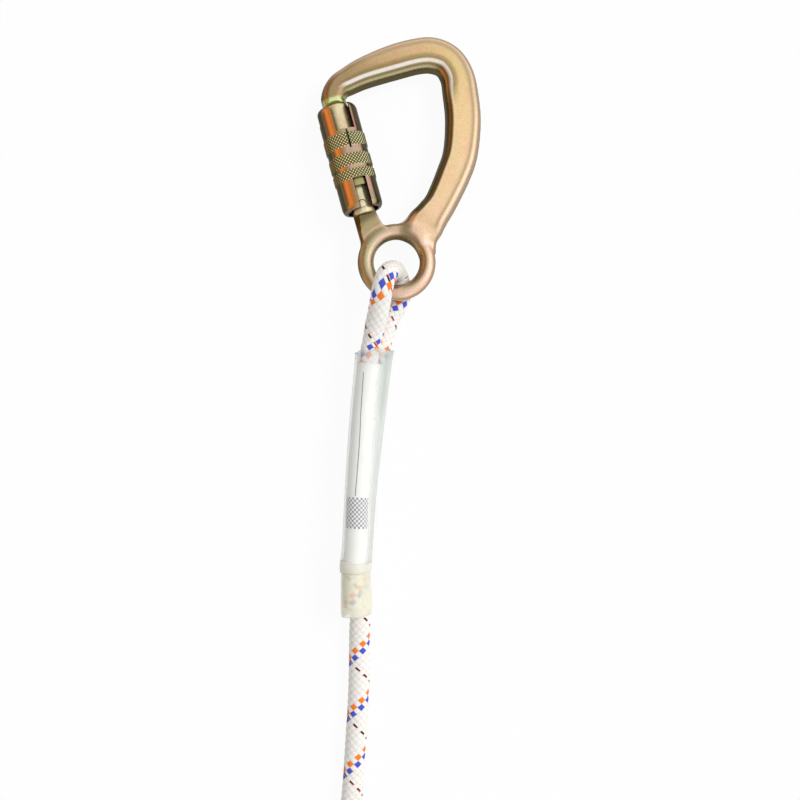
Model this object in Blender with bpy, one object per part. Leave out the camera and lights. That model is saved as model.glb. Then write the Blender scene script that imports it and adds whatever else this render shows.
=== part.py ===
"""Static rope with a sewn eye, a captive-eye auto-locking steel carabiner and a tied hank.

The object lies on the floor, z = 0. +X points across it and +Y from the rope to the carabiner's top.
The origin is on the floor under the middle of the carabiner and its termination.
Lengths are metres. The carabiner is drawn flat in its own frame, whose origin is its ring's centre,
and the gate in a second frame, whose origin is the hinge and whose Y runs along the gate.
"""
import math

import bmesh
import bpy
import numpy as np
from mathutils import Matrix, Vector

# Gaps that neighbouring solids keep, how far cutters run past a face, and the step of finely drawn routes
GAP = 0.0003
FIT = 0.0005
OVERRUN = 0.0020
FINE_STEP = 0.0005

# Rope
ROPE_D = 0.011
ROPE_R = ROPE_D / 2
ROPE_SIDES_RES = 3
ROPE_TUBE_R = 0.0051
ROPE_FINISHED_LENGTH = 4.0

# Carabiner frame: ring centre above the floor, pitch and roll of its plane
RING_X = -0.00135
RING_Y = 0.0316
RING_Z = 0.0152
PITCH = math.radians(3.78)
ROLL = math.radians(2.16)

# Captive ring
RING_BAR_R = 0.0043
RING_HOLE_R = 0.0118
RING_MEAN_R = RING_HOLE_R + RING_BAR_R

# Forged bar: half thickness, and stations of its centre line with half widths
BAR_HALF_T = 0.0066
BAR_NOSE_HALF_T = 0.0060
BAR_ROOT_HALF_T = 0.0030
BAR_CORNER_R = 0.0034
BAR_CORNER_POINTS = 5
BAR_STEPS = 36
BAR_NOSE_PART = 0.16
BAR_ROOT_PART = 0.87
BAR_STATIONS = (
    (-0.0334, 0.0882, 0.0059),
    (-0.0306, 0.0940, 0.0064),
    (-0.0248, 0.0979, 0.0070),
    (-0.0165, 0.1023, 0.0078),
    (-0.0020, 0.1079, 0.0088),
    (0.0105, 0.1115, 0.0089),
    (0.0194, 0.1121, 0.0090),
    (0.0273, 0.1087, 0.0087),
    (0.0323, 0.1010, 0.0087),
    (0.0342, 0.0910, 0.0090),
    (0.0354, 0.0763, 0.00895),
    (0.0339, 0.0590, 0.00865),
    (0.0300, 0.0470, 0.0085),
    (0.0234, 0.0324, 0.0080),
    (0.0185, 0.0250, 0.0086),
    (0.0146, 0.0190, 0.0096),
    (0.0136, 0.0112, 0.0078),
    (0.0162, 0.0040, 0.0040),
)

# Hinge and gate direction in the carabiner frame
HINGE_X = -0.0180
HINGE_Y = 0.0298
GATE_LEAN = math.radians(15.07)

# Hinge lug of the body, in the gate frame (x across, y along the gate)
LUG_HALF_T = 0.0030
LUG_HALF_W = 0.0060
LUG_CAM_LOW_R = 0.0051
LUG_CAM_LOW_FROM = math.radians(72)
LUG_CAM_LOW_TO = math.radians(100)
LUG_CAM_START = math.radians(28)
LUG_CAM_END = math.radians(140)
LUG_FOOT_RIGHT = ((0.0058, -0.0055), (0.0064, -0.0090), (0.0075, -0.0119), (0.0096, -0.0136), (0.0120, -0.0142))
LUG_FOOT_LEFT = ((-0.0056, -0.0240), (-0.0059, -0.0197))
LUG_FOOT_ANGLES = (80, 95, 110, 125, 140)

# Nose of the body: shoulder height along the gate, and the key that the gate's slot takes
SHOULDER_Y = 0.0556
NOSE_HALF_W = 0.0057
KEY_LENGTH = 0.0065
KEY_HALF_T = 0.0020
KEY_OUTER_X = -0.0044
KEY_INNER_X = 0.0020

# Gate bar
GATE_R = 0.0061
GATE_TOP_R = 0.0054
GATE_TAPER_FROM = 0.0390
GATE_FOOT_Y = -0.0057
GATE_EDGE = 0.0005
GATE_SEGMENTS = 32
GATE_OPEN_ANGLE = math.radians(30)
FORK_TOP_Y = 0.0070

# Hinge rivet
RIVET_R = 0.0022
RIVET_HALF_LENGTH = 0.0060

# Gate plunger and its spring, in a bore beside the gate's axis
PLUNGER_X = 0.0026
PLUNGER_R = 0.0016
PLUNGER_LENGTH = 0.0070
PLUNGER_TIP_CLEAR = 0.0005
PLUNGER_BORE_CLEAR = 0.00035
PLUNGER_BORE_TOP_Y = 0.0220
GATE_SPRING_WIRE_R = 0.0003
GATE_SPRING_TURNS = 6

# Locking sleeve, in the gate frame: bore, wall, rims and bands
SLEEVE_BORE_R = 0.0097
SLEEVE_WALL = 0.0011
SLEEVE_R = SLEEVE_BORE_R + SLEEVE_WALL
SLEEVE_FOOT_Y = -0.0026
SLEEVE_TOP_Y = 0.0546
SLEEVE_SEGMENTS = 48
SLEEVE_TOP_ROUND = 0.0036
SLEEVE_TOP_NECK = 0.0021
SLEEVE_FOOT_ROUND = 0.0036
SLEEVE_FOOT_NECK = 0.0014
BAND_HEIGHT = 0.0004
BANDS = ((0.0127, 0.0182), (0.0196, 0.0266), (0.0301, 0.0379))
WINDOW_ANGLE = math.radians(81.5)
TOP_WINDOW_W = 0.0102
TOP_WINDOW_FOOT_Y = 0.0397
FOOT_WINDOW_W = 0.0070
FOOT_WINDOW_TOP_Y = 0.0130
SLIT_W = 0.0010
SLIT_X = 0.0017
SLIT_FOOT_Y = 0.0292
BACK_WINDOW_FROM = math.radians(168)
BACK_WINDOW_TO = math.radians(300)
BACK_WINDOW_FOOT_Y = 0.0465

# Rings inside the sleeve
INNER_R = GATE_R + GAP
OUTER_R = SLEEVE_BORE_R - GAP
LOWER_BUSH_Y = (0.0092, 0.0135)
LOWER_BUSH_BORE_R = 0.0065
UPPER_BUSH_Y = (0.0358, 0.0390)
COLLAR_Y = (0.0172, 0.0194)
GUIDE_RING_Y = (0.0330, 0.0354)
GUIDE_TAB_W = 0.0018
GUIDE_TAB_DEPTH = 0.0008
GUIDE_GROOVE_Y = (0.0280, 0.0362)
SLEEVE_SPRING_WIRE_R = 0.00055
SLEEVE_SPRING_R = 0.0079
SLEEVE_SPRING_TURNS = 6
STOP_PIN_R = 0.0010
STOP_PIN_Y = 0.0126
STOP_PIN_REACH = 0.0089
STOP_PIN_ROOT = 0.0040
STOP_RECESS_FROM = math.radians(258)
STOP_RECESS_TO = math.radians(362)
STOP_RECESS_FOOT_Y = 0.0112

# Sewn eye: the rope's own route, chosen by hand. Points are measured from the ring's centre in X and Y,
# and from the floor in Z. The tail comes first, then the turn through the ring, then the standing part.
EYE_TURN = (
    (-0.0128, -0.0420, 0.0173),
    (-0.0112, -0.0342, 0.0193),
    (-0.0095, -0.0274, 0.0222),
    (-0.0082, -0.0208, 0.0247),
    (-0.0072, -0.0147, 0.0268),
    (-0.0050, -0.0080, 0.0243),
    (-0.0019, -0.0047, 0.0165),
    (0.0006, -0.0068, 0.0094),
    (0.0022, -0.0140, 0.0058),
    (0.0003, -0.0210, 0.0056),
    (-0.0036, -0.0280, 0.0056),
    (-0.0060, -0.0355, 0.0065),
    (-0.0078, -0.0420, 0.0075),
)
# Middle of the two legs inside the tubes: X, Y from the ring's centre, half their offset in X, lower leg's Z
PAIR_STATIONS = (
    (-0.0113, -0.0453, 0.0025, 0.00790),
    (-0.0146, -0.0747, 0.0022, 0.00725),
    (-0.0165, -0.0930, 0.0017, 0.00725),
    (-0.0188, -0.1200, 0.0012, 0.00725),
    (-0.0203, -0.1470, 0.00075, 0.00725),
    (-0.0212, -0.1600, 0.0012, 0.00725),
    (-0.0210, -0.1720, 0.00165, 0.00670),
    (-0.0209, -0.1842, 0.00165, 0.00630),
)
PAIR_PITCH = 0.0106
PAIR_LEAD = 0.0040
EXIT_Y = -0.1842
EXIT_LEAD = 0.0120
TAIL_END_Y = EXIT_Y + 0.0052
EYE_STEP = 0.0060
SQUEEZE_FROM_Y = -0.0300
SQUEEZE_LENGTH = 0.0120

# Wraps around the two legs: start and end in Y from the ring's centre, and wall
LABEL_Y = (-0.0516, -0.1568)
LABEL_WALL = 0.00035
CLEAR_TUBE_Y = (-0.0453, -0.1602)
CLEAR_TUBE_WALL = 0.0012
CLEAR_TUBE_FLARE = 0.0006
CLEAR_TUBE_FLARE_LENGTH = 0.0090
LOWER_TUBE_Y = (-0.1606, EXIT_Y)
LOWER_TUBE_WALL = 0.0008
WRAP_RES = 10
WRAP_STEP = 0.0060

# Seams where the two legs are sewn to each other
SEAM_Y = (-0.0560, -0.1500)
SEAM_HALF_W = 0.0015
SEAM_ROOT_HALF_W = 0.00035
SEAM_INNER = 0.0024
SEAM_OUTER = 0.0050

# Free rope on the floor, chosen by hand: X and Y from the ring's centre
RUN_POINTS = (
    (-0.01925, -0.1845),
    (-0.0195, -0.2000),
    (-0.0199, -0.2235),
    (-0.0210, -0.2437),
    (-0.0232, -0.2769),
    (-0.0254, -0.2930),
    (-0.0296, -0.3090),
    (-0.0338, -0.3230),
    (-0.0356, -0.3300),
    (-0.0362, -0.3460),
)
RUN_START_Z = 0.0063
RUN_Z = ROPE_R
RUN_STEP = 0.0260

# Hank: loops of two runs and two folds, wound in and out in four layers, drawn in at the waist.
# A turn count of 0 is the middle of the left run, and the loops reverse every turn and a half.
HANK_X = 0.0165
HANK_TOP_Y = -0.3460
HANK_RUN = 0.1650
HANK_LOOPS = 6
HANK_LAYER_LOOPS = 1.5
HANK_FOLD_POINTS = 8
HANK_RUN_POINTS = 4
HANK_STEP = 0.0120
HANK_LAYER = 0.0115
HANK_FOLD_R = 0.0330
HANK_WAIST = 0.0150
HANK_LIFT = 0.0021
HANK_END = 6.06
HANK_END_SPREAD = 4.0
TIE_GAP = 0.0005
TIE_WALL = 0.0015
TIE_WIDTH = 0.0220
TIE_CORNER = 0.0060
END_SLEEVE_WALL = 0.0007
END_SLEEVE_LENGTH = 0.0220
END_SLEEVE_EDGE = 0.0015

COLOURS = {
    "zinc_gold": ((0.62, 0.47, 0.26), 0.32, 1.0),
    "zinc_olive": ((0.42, 0.36, 0.20), 0.30, 1.0),
    "steel": ((0.60, 0.60, 0.58), 0.35, 1.0),
    "rope_white": ((0.80, 0.77, 0.72), 0.85, 0.0),
    "label_white": ((0.86, 0.86, 0.84), 0.55, 0.0),
    "thread_black": ((0.05, 0.05, 0.05), 0.80, 0.0),
    "clear_shrink": ((0.62, 0.66, 0.60), 0.25, 0.0),
    "cream_shrink": ((0.78, 0.72, 0.56), 0.35, 0.0),
    "black_shrink": ((0.03, 0.03, 0.03), 0.45, 0.0),
    "strap_black": ((0.04, 0.04, 0.045), 0.90, 0.0),
}


def clear_scene():
    for item in list(bpy.data.objects):
        bpy.data.objects.remove(item, do_unlink=True)


def material(name):
    """One Principled material per finish, shared by the pieces that have it."""
    found = bpy.data.materials.get(name)
    if found:
        return found
    colour, roughness, metallic = COLOURS[name]
    made = bpy.data.materials.new(name)
    made.use_nodes = True
    shader = made.node_tree.nodes["Principled BSDF"]
    shader.inputs["Base Color"].default_value = (*colour, 1.0)
    shader.inputs["Roughness"].default_value = roughness
    shader.inputs["Metallic"].default_value = metallic
    made.diffuse_color = (*colour, 1.0)
    return made


def empty(name, location, rotation, parent=None):
    frame = bpy.data.objects.new(name, None)
    frame.location = location
    frame.rotation_euler = rotation
    frame.parent = parent
    bpy.context.scene.collection.objects.link(frame)
    return frame


def add(name, data, finish=None, parent=None, helper=False):
    """Put mesh or curve data in the scene as a piece, or as a hidden helper that cuts or joins."""
    item = bpy.data.objects.new(name, data)
    item.parent = parent
    bpy.context.scene.collection.objects.link(item)
    if finish:
        data.materials.append(material(finish))
    if helper:
        item.hide_render = True
        item.display_type = "WIRE"
    return item


def mesh_from(bm, name, smooth=True):
    """Finish a bmesh: merge doubles, face outwards, shade smooth with sharp edges kept."""
    bmesh.ops.remove_doubles(bm, verts=bm.verts, dist=1e-7)
    bmesh.ops.recalc_face_normals(bm, faces=bm.faces)
    data = bpy.data.meshes.new(name)
    bm.to_mesh(data)
    bm.free()
    if smooth:
        data.shade_smooth()
        data.set_sharp_from_angle(angle=math.radians(35))
    return data


def turned(name, profile, segments):
    """A solid turned about Y: profile is a closed loop of (radius, y), off the axis or on it."""
    bm = bmesh.new()
    verts = [bm.verts.new((r, y, 0.0)) for r, y in profile]
    edges = [bm.edges.new((verts[i], verts[(i + 1) % len(verts)])) for i in range(len(verts))]
    bmesh.ops.spin(
        bm, geom=verts + edges, axis=(0, 1, 0), cent=(0, 0, 0),
        angle=math.tau, steps=segments, use_merge=True, use_duplicate=False,
    )
    bmesh.ops.dissolve_degenerate(bm, dist=1e-8, edges=bm.edges)
    return mesh_from(bm, name)


def ring(name, inner, outer, low, high, segments=SLEEVE_SEGMENTS):
    return turned(name, [(inner, low), (outer, low), (outer, high), (inner, high)], segments)


def block(name, low, high):
    """A box between two corners."""
    bm = bmesh.new()
    size = [b - a for a, b in zip(low, high)]
    middle = [(a + b) / 2 for a, b in zip(low, high)]
    bmesh.ops.create_cube(bm, size=1.0, matrix=Matrix.Translation(middle) @ Matrix.Diagonal((*size, 1.0)))
    return mesh_from(bm, name, smooth=False)


def rod(name, start, end, radius, segments=16):
    """A plain round bar between two points."""
    start, end = Vector(start), Vector(end)
    bm = bmesh.new()
    turn = (end - start).to_track_quat("Z", "Y").to_matrix().to_4x4()
    bmesh.ops.create_cone(
        bm, cap_ends=True, segments=segments, radius1=radius, radius2=radius,
        depth=(end - start).length, matrix=Matrix.Translation((start + end) / 2) @ turn,
    )
    return mesh_from(bm, name)


def prism(name, outline, low, high):
    """An outline in X and Y, extruded from z = low to z = high."""
    bm = bmesh.new()
    face = bm.faces.new([bm.verts.new((x, y, low)) for x, y in outline])
    moved = bmesh.ops.extrude_face_region(bm, geom=[face])
    tops = [v for v in moved["geom"] if isinstance(v, bmesh.types.BMVert)]
    bmesh.ops.translate(bm, verts=tops, vec=(0, 0, high - low))
    return mesh_from(bm, name)


def sector(name, start, stop, low, high, reach):
    """A wedge about Y from one angle to another. Angles run from +X towards +Z."""
    count = max(3, round((stop - start) / math.radians(9)))
    angles = [start + (stop - start) * i / count for i in range(count + 1)]
    outline = [(0.0, 0.0)] + [(reach * math.cos(a), reach * math.sin(a)) for a in angles]
    bm = bmesh.new()
    face = bm.faces.new([bm.verts.new((x, low, z)) for x, z in outline])
    moved = bmesh.ops.extrude_face_region(bm, geom=[face])
    tops = [v for v in moved["geom"] if isinstance(v, bmesh.types.BMVert)]
    bmesh.ops.translate(bm, verts=tops, vec=(0, high - low, 0))
    return mesh_from(bm, name, smooth=False)


def boolean(item, tool, operation):
    step = item.modifiers.new(tool.name, "BOOLEAN")
    step.operation = operation
    step.solver = "EXACT"
    step.object = tool


def smooth_path(points, step):
    """Even points on a Catmull-Rom curve through the given points."""
    given = np.array(points, float)
    padded = np.vstack([2 * given[0] - given[1], given, 2 * given[-1] - given[-2]])
    t = np.linspace(0, 1, 24, endpoint=False)[:, None]
    fine = []
    for a, b, c, d in zip(padded[:-3], padded[1:-2], padded[2:-1], padded[3:]):
        fine.append(0.5 * (2 * b + (c - a) * t + (2 * a - 5 * b + 4 * c - d) * t**2 + (3 * b - a - 3 * c + d) * t**3))
    fine = np.vstack(fine + [given[-1:]])
    along = np.concatenate([[0], np.cumsum(np.linalg.norm(np.diff(fine, axis=0), axis=1))])
    even = np.linspace(0, along[-1], max(2, round(along[-1] / step)) + 1)
    return np.column_stack([np.interp(even, along, fine[:, k]) for k in range(3)])


def length_of(points):
    return float(np.linalg.norm(np.diff(points, axis=0), axis=1).sum())


def cord(name, points, radius, resolution, finish, parent=None, swell=None):
    """A round tube along points: a poly curve with a bevel and filled caps. Swell scales the radius by point."""
    data = bpy.data.curves.new(name, "CURVE")
    data.dimensions = "3D"
    data.bevel_depth = radius
    data.bevel_resolution = resolution
    data.use_fill_caps = True
    spline = data.splines.new("POLY")
    spline.points.add(len(points) - 1)
    for i, (point, place) in enumerate(zip(spline.points, points)):
        point.co = (*place, 1.0)
        if swell is not None:
            point.radius = swell[i]
    return add(name, data, finish, parent)


def coil(name, radius, low, high, turns, wire, finish, centre_x=0.0, parent=None):
    """A helical spring about the Y axis."""
    count = turns * 9
    points = []
    for i in range(count + 1):
        angle = math.tau * turns * i / count
        y = low + wire + (high - low - 2 * wire) * i / count
        points.append((centre_x + radius * math.cos(angle), y, radius * math.sin(angle)))
    return cord(name, points, wire, 1, finish, parent)


def bar_section(width, thick):
    """A rectangle with round corners across the bar."""
    corner = min(BAR_CORNER_R, 0.9 * thick, 0.9 * width)
    shape = []
    for cx, cz, first in ((1, 1, 0), (-1, 1, 90), (-1, -1, 180), (1, -1, 270)):
        for i in range(BAR_CORNER_POINTS):
            a = math.radians(first + 90 * i / (BAR_CORNER_POINTS - 1))
            shape.append((
                cx * (width - corner) + corner * math.cos(a),
                cz * (thick - corner) + corner * math.sin(a),
            ))
    return shape


def bar_thickness(part):
    """Half thickness along the bar: a little less at the nose, and falling into the ring at the root."""
    nose = max(0.0, 1 - part / BAR_NOSE_PART)
    root = max(0.0, (part - BAR_ROOT_PART) / (1 - BAR_ROOT_PART))
    return BAR_HALF_T + (BAR_NOSE_HALF_T - BAR_HALF_T) * nose + (BAR_ROOT_HALF_T - BAR_HALF_T) * root ** 1.5


def forged_bar(name):
    """The bar from the nose's shoulder round the top and down the spine into the ring."""
    hinge = Vector((HINGE_X, HINGE_Y))
    along = Vector((-math.sin(GATE_LEAN), math.cos(GATE_LEAN)))
    nose = hinge + along * SHOULDER_Y
    fine = smooth_path([(nose.x, nose.y, NOSE_HALF_W), *BAR_STATIONS], FINE_STEP)
    chosen = np.linspace(0, len(fine) - 1, BAR_STEPS).round().astype(int)
    headings = np.gradient(fine[:, :2], axis=0)[chosen]
    bm = bmesh.new()
    loops = []
    for i, (place, heading) in enumerate(zip(fine[chosen], headings)):
        forward = along if i == 0 else Vector(heading).normalized()
        side = Vector((forward.y, -forward.x))
        loops.append([
            bm.verts.new((place[0] + side.x * w, place[1] + side.y * w, t))
            for w, t in bar_section(place[2], bar_thickness(i / (BAR_STEPS - 1)))
        ])
    total = len(loops[0])
    for one, two in zip(loops[:-1], loops[1:]):
        for i in range(total):
            j = (i + 1) % total
            bm.faces.new((one[i], one[j], two[j], two[i]))
    bm.faces.new(loops[0])
    bm.faces.new(loops[-1])
    return mesh_from(bm, name)


def captive_ring(name):
    """A ring of round bar about Z."""
    bm = bmesh.new()
    verts = [
        bm.verts.new((RING_MEAN_R + RING_BAR_R * math.cos(a), 0.0, RING_BAR_R * math.sin(a)))
        for a in (math.tau * i / 16 for i in range(16))
    ]
    edges = [bm.edges.new((verts[i], verts[(i + 1) % 16])) for i in range(16)]
    bmesh.ops.spin(
        bm, geom=verts + edges, axis=(0, 0, 1), cent=(0, 0, 0),
        angle=math.tau, steps=48, use_merge=True, use_duplicate=False,
    )
    return mesh_from(bm, name)


def lug_radius(angle):
    """The lug's end is a cam about the hinge: low under the resting plunger, full at both sides."""
    if angle <= LUG_CAM_START or angle >= LUG_CAM_END:
        return LUG_HALF_W
    if angle < LUG_CAM_LOW_FROM:
        share = (angle - LUG_CAM_START) / (LUG_CAM_LOW_FROM - LUG_CAM_START)
        return LUG_HALF_W + (LUG_CAM_LOW_R - LUG_HALF_W) * share
    if angle <= LUG_CAM_LOW_TO:
        return LUG_CAM_LOW_R
    share = (angle - LUG_CAM_LOW_TO) / (LUG_CAM_END - LUG_CAM_LOW_TO)
    return LUG_CAM_LOW_R + (LUG_HALF_W - LUG_CAM_LOW_R) * share


def hinge_lug(name):
    """A flat tongue from the ring up to the hinge, drawn in the gate frame."""
    end = [(lug_radius(a) * math.cos(a), lug_radius(a) * math.sin(a))
           for a in (math.pi * i / 20 for i in range(21))]
    turn = Matrix.Rotation(-GATE_LEAN, 2)
    foot = []
    for degrees in LUG_FOOT_ANGLES:
        a = math.radians(degrees)
        place = Vector((RING_MEAN_R * math.cos(a) - HINGE_X, RING_MEAN_R * math.sin(a) - HINGE_Y))
        foot.append(tuple(turn @ place))
    right = list(reversed(LUG_FOOT_RIGHT))
    outline = right + end + list(reversed(LUG_FOOT_LEFT)) + list(reversed(foot))
    return prism(name, outline, -LUG_HALF_T, LUG_HALF_T)


def sleeve_profile():
    """Outer and inner outline of the sleeve, with rounded rims and raised bands."""
    rounding = [math.radians(a) for a in (0, 30, 60, 90)]
    outer = [
        (SLEEVE_R - SLEEVE_FOOT_NECK * (1 - math.sin(a)), SLEEVE_FOOT_Y + SLEEVE_FOOT_ROUND * (1 - math.cos(a)))
        for a in rounding
    ]
    for low, high in BANDS:
        outer += [
            (SLEEVE_R, low), (SLEEVE_R + BAND_HEIGHT, low + BAND_HEIGHT),
            (SLEEVE_R + BAND_HEIGHT, high - BAND_HEIGHT), (SLEEVE_R, high),
        ]
    outer += [
        (SLEEVE_R - SLEEVE_TOP_NECK * (1 - math.cos(a)), SLEEVE_TOP_Y - SLEEVE_TOP_ROUND * (1 - math.sin(a)))
        for a in rounding
    ]
    inner = [
        (SLEEVE_BORE_R - SLEEVE_TOP_NECK * (1 - math.cos(a)), SLEEVE_TOP_Y - SLEEVE_TOP_ROUND * (1 - math.sin(a)))
        for a in reversed(rounding)
    ]
    inner += [
        (SLEEVE_BORE_R - SLEEVE_FOOT_NECK * (1 - math.sin(a)), SLEEVE_FOOT_Y + SLEEVE_FOOT_ROUND * (1 - math.cos(a)))
        for a in reversed(rounding)
    ]
    return outer + inner


def radial_block(name, angle, width, low, high):
    """A cutter that passes the sleeve's wall on one side, square to the radius at an angle."""
    data = block(name, (GATE_R, low, -width / 2), (SLEEVE_R * 1.5, high, width / 2))
    data.transform(Matrix.Rotation(-angle, 4, "Y"))
    return data


def make_body(frame, gate):
    body = add("carabiner_body", forged_bar("carabiner_body"), "zinc_gold", frame)
    loop = add("ring_join", captive_ring("ring_join"), parent=frame, helper=True)
    lug = add("lug_join", hinge_lug("lug_join"), parent=gate, helper=True)
    key = add("key_join", block(
        "key_join", (KEY_OUTER_X, SHOULDER_Y - KEY_LENGTH, -KEY_HALF_T), (KEY_INNER_X, SHOULDER_Y + OVERRUN, KEY_HALF_T),
    ), parent=gate, helper=True)
    hole = add("lug_hole", rod(
        "lug_hole", (0, 0, -2 * LUG_HALF_T), (0, 0, 2 * LUG_HALF_T), RIVET_R + GAP, 24,
    ), parent=gate, helper=True)
    boolean(body, loop, "UNION")
    boolean(body, lug, "UNION")
    boolean(body, key, "UNION")
    boolean(body, hole, "DIFFERENCE")


def make_gate(gate):
    top = SHOULDER_Y - GAP
    profile = [
        (0.0, GATE_FOOT_Y), (GATE_R - GATE_EDGE, GATE_FOOT_Y), (GATE_R, GATE_FOOT_Y + GATE_EDGE),
        (GATE_R, GATE_TAPER_FROM), (GATE_TOP_R, top - GATE_EDGE), (GATE_TOP_R - GATE_EDGE, top), (0.0, top),
    ]
    bar = add("gate_bar", turned("gate_bar", profile, GATE_SEGMENTS), "zinc_gold", gate)
    wide = 2 * GATE_R
    cuts = (
        ("fork_cut", block("fork_cut", (-wide, GATE_FOOT_Y - OVERRUN, -LUG_HALF_T - GAP), (wide, FORK_TOP_Y, LUG_HALF_T + GAP))),
        ("hinge_hole", rod("hinge_hole", (0, 0, -wide), (0, 0, wide), RIVET_R + GAP, 24)),
        ("plunger_bore", rod(
            "plunger_bore", (PLUNGER_X, FORK_TOP_Y - OVERRUN, 0), (PLUNGER_X, PLUNGER_BORE_TOP_Y, 0),
            PLUNGER_R + PLUNGER_BORE_CLEAR,
        )),
        ("key_slot", block(
            "key_slot", (-wide, SHOULDER_Y - KEY_LENGTH - 2 * FIT, -KEY_HALF_T - GAP),
            (KEY_INNER_X + 2 * GAP, SHOULDER_Y + OVERRUN, KEY_HALF_T + GAP),
        )),
        ("guide_groove", block(
            "guide_groove", (-GUIDE_TAB_W / 2 - GAP, GUIDE_GROOVE_Y[0], -wide),
            (GUIDE_TAB_W / 2 + GAP, GUIDE_GROOVE_Y[1], -GATE_R + GUIDE_TAB_DEPTH + GAP),
        )),
        ("stop_pin_hole", rod(
            "stop_pin_hole", (0, STOP_PIN_Y, -wide), (0, STOP_PIN_Y, -STOP_PIN_ROOT + GAP), STOP_PIN_R + GAP,
        )),
    )
    for name, data in cuts:
        boolean(bar, add(name, data, parent=gate, helper=True), "DIFFERENCE")
    add("stop_pin", rod(
        "stop_pin", (0, STOP_PIN_Y, -STOP_PIN_REACH), (0, STOP_PIN_Y, -STOP_PIN_ROOT), STOP_PIN_R,
    ), "steel", gate)
    add("retaining_collar", ring("retaining_collar", INNER_R, OUTER_R, *COLLAR_Y), "steel", gate)
    add("hinge_rivet", rod(
        "hinge_rivet", (0, 0, -RIVET_HALF_LENGTH), (0, 0, RIVET_HALF_LENGTH), RIVET_R, 24,
    ), "steel", gate)


def make_plunger(gate):
    """The plunger's rounded tip rests just off the lug's cam, and its spring fills the bore above."""
    reach = LUG_CAM_LOW_R + PLUNGER_R + PLUNGER_TIP_CLEAR
    centre_y = math.sqrt(reach**2 - PLUNGER_X**2)
    dome = [
        (PLUNGER_R * math.sin(a), centre_y - PLUNGER_R * math.cos(a))
        for a in (math.radians(d) for d in (0, 30, 60, 90))
    ]
    top = centre_y + PLUNGER_LENGTH
    data = turned("gate_plunger", dome + [(PLUNGER_R, top), (0.0, top)], 16)
    data.transform(Matrix.Translation((PLUNGER_X, 0, 0)))
    add("gate_plunger", data, "steel", gate)
    coil(
        "gate_spring", PLUNGER_R - GATE_SPRING_WIRE_R, top + GAP, PLUNGER_BORE_TOP_Y - GAP, GATE_SPRING_TURNS,
        GATE_SPRING_WIRE_R, "steel", PLUNGER_X, gate,
    )


def make_sleeve(gate):
    sleeve = add("locking_sleeve", turned("locking_sleeve", sleeve_profile(), SLEEVE_SEGMENTS), "zinc_olive", gate)
    far = SLEEVE_TOP_Y + OVERRUN
    slit_angle = math.acos(SLIT_X / SLEEVE_R)
    cuts = (
        ("top_window", radial_block("top_window", WINDOW_ANGLE, TOP_WINDOW_W, TOP_WINDOW_FOOT_Y, far)),
        ("foot_window", radial_block("foot_window", WINDOW_ANGLE, FOOT_WINDOW_W, SLEEVE_FOOT_Y - OVERRUN, FOOT_WINDOW_TOP_Y)),
        ("spring_slit", radial_block("spring_slit", slit_angle, SLIT_W, SLIT_FOOT_Y, TOP_WINDOW_FOOT_Y + OVERRUN)),
        ("back_window", sector(
            "back_window", BACK_WINDOW_FROM, BACK_WINDOW_TO, BACK_WINDOW_FOOT_Y, far, SLEEVE_R * 1.5,
        )),
    )
    for name, data in cuts:
        boolean(sleeve, add(name, data, parent=gate, helper=True), "DIFFERENCE")
    lower = add("lower_bush", ring("lower_bush", LOWER_BUSH_BORE_R, OUTER_R, *LOWER_BUSH_Y), "zinc_olive", gate)
    boolean(lower, add("stop_recess", sector(
        "stop_recess", STOP_RECESS_FROM, STOP_RECESS_TO, STOP_RECESS_FOOT_Y, LOWER_BUSH_Y[1] + OVERRUN, SLEEVE_R,
    ), parent=gate, helper=True), "DIFFERENCE")
    add("upper_bush", ring("upper_bush", INNER_R, OUTER_R, *UPPER_BUSH_Y), "zinc_olive", gate)
    guide = add("guide_ring", ring("guide_ring", INNER_R, OUTER_R, *GUIDE_RING_Y), "steel", gate)
    tab = add("guide_tab", block(
        "guide_tab", (-GUIDE_TAB_W / 2, GUIDE_RING_Y[0], -INNER_R - GUIDE_TAB_DEPTH),
        (GUIDE_TAB_W / 2, GUIDE_RING_Y[1], -GATE_R + GUIDE_TAB_DEPTH),
    ), parent=gate, helper=True)
    boolean(guide, tab, "UNION")
    coil(
        "sleeve_spring", SLEEVE_SPRING_R, COLLAR_Y[1] + GAP, GUIDE_RING_Y[0] - GAP, SLEEVE_SPRING_TURNS,
        SLEEVE_SPRING_WIRE_R, "steel", 0.0, gate,
    )


def pair_at(y):
    """Middle of the two legs at a distance along the termination, and the direction from lower to upper leg."""
    rows = np.array(PAIR_STATIONS)[::-1]
    x, offset, low = (np.interp(y, rows[:, 1], rows[:, k]) for k in (0, 2, 3))
    rise = math.sqrt((PAIR_PITCH / 2) ** 2 - offset ** 2)
    across = np.array([-offset, 0.0, rise]) / (PAIR_PITCH / 2)
    return np.array([x, y, low + rise]), across


def leg(y, side):
    """Centre of the tail leg (side +1) or the standing leg (side -1)."""
    middle, across = pair_at(y)
    return middle + across * side * PAIR_PITCH / 2


def eye_points():
    """The whole eye as one route: up the tail, round the ring's bar and down the standing leg."""
    tail = [leg(y, 1) for y in np.linspace(TAIL_END_Y, PAIR_STATIONS[0][1] - PAIR_LEAD, 9)]
    stand = [leg(y, -1) for y in np.linspace(PAIR_STATIONS[0][1] - PAIR_LEAD, EXIT_Y + EXIT_LEAD, 8)]
    out = np.array([RUN_POINTS[0][0], EXIT_Y, RUN_START_Z])
    return smooth_path(tail + [np.array(p) for p in EYE_TURN] + stand + [out], EYE_STEP)


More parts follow.
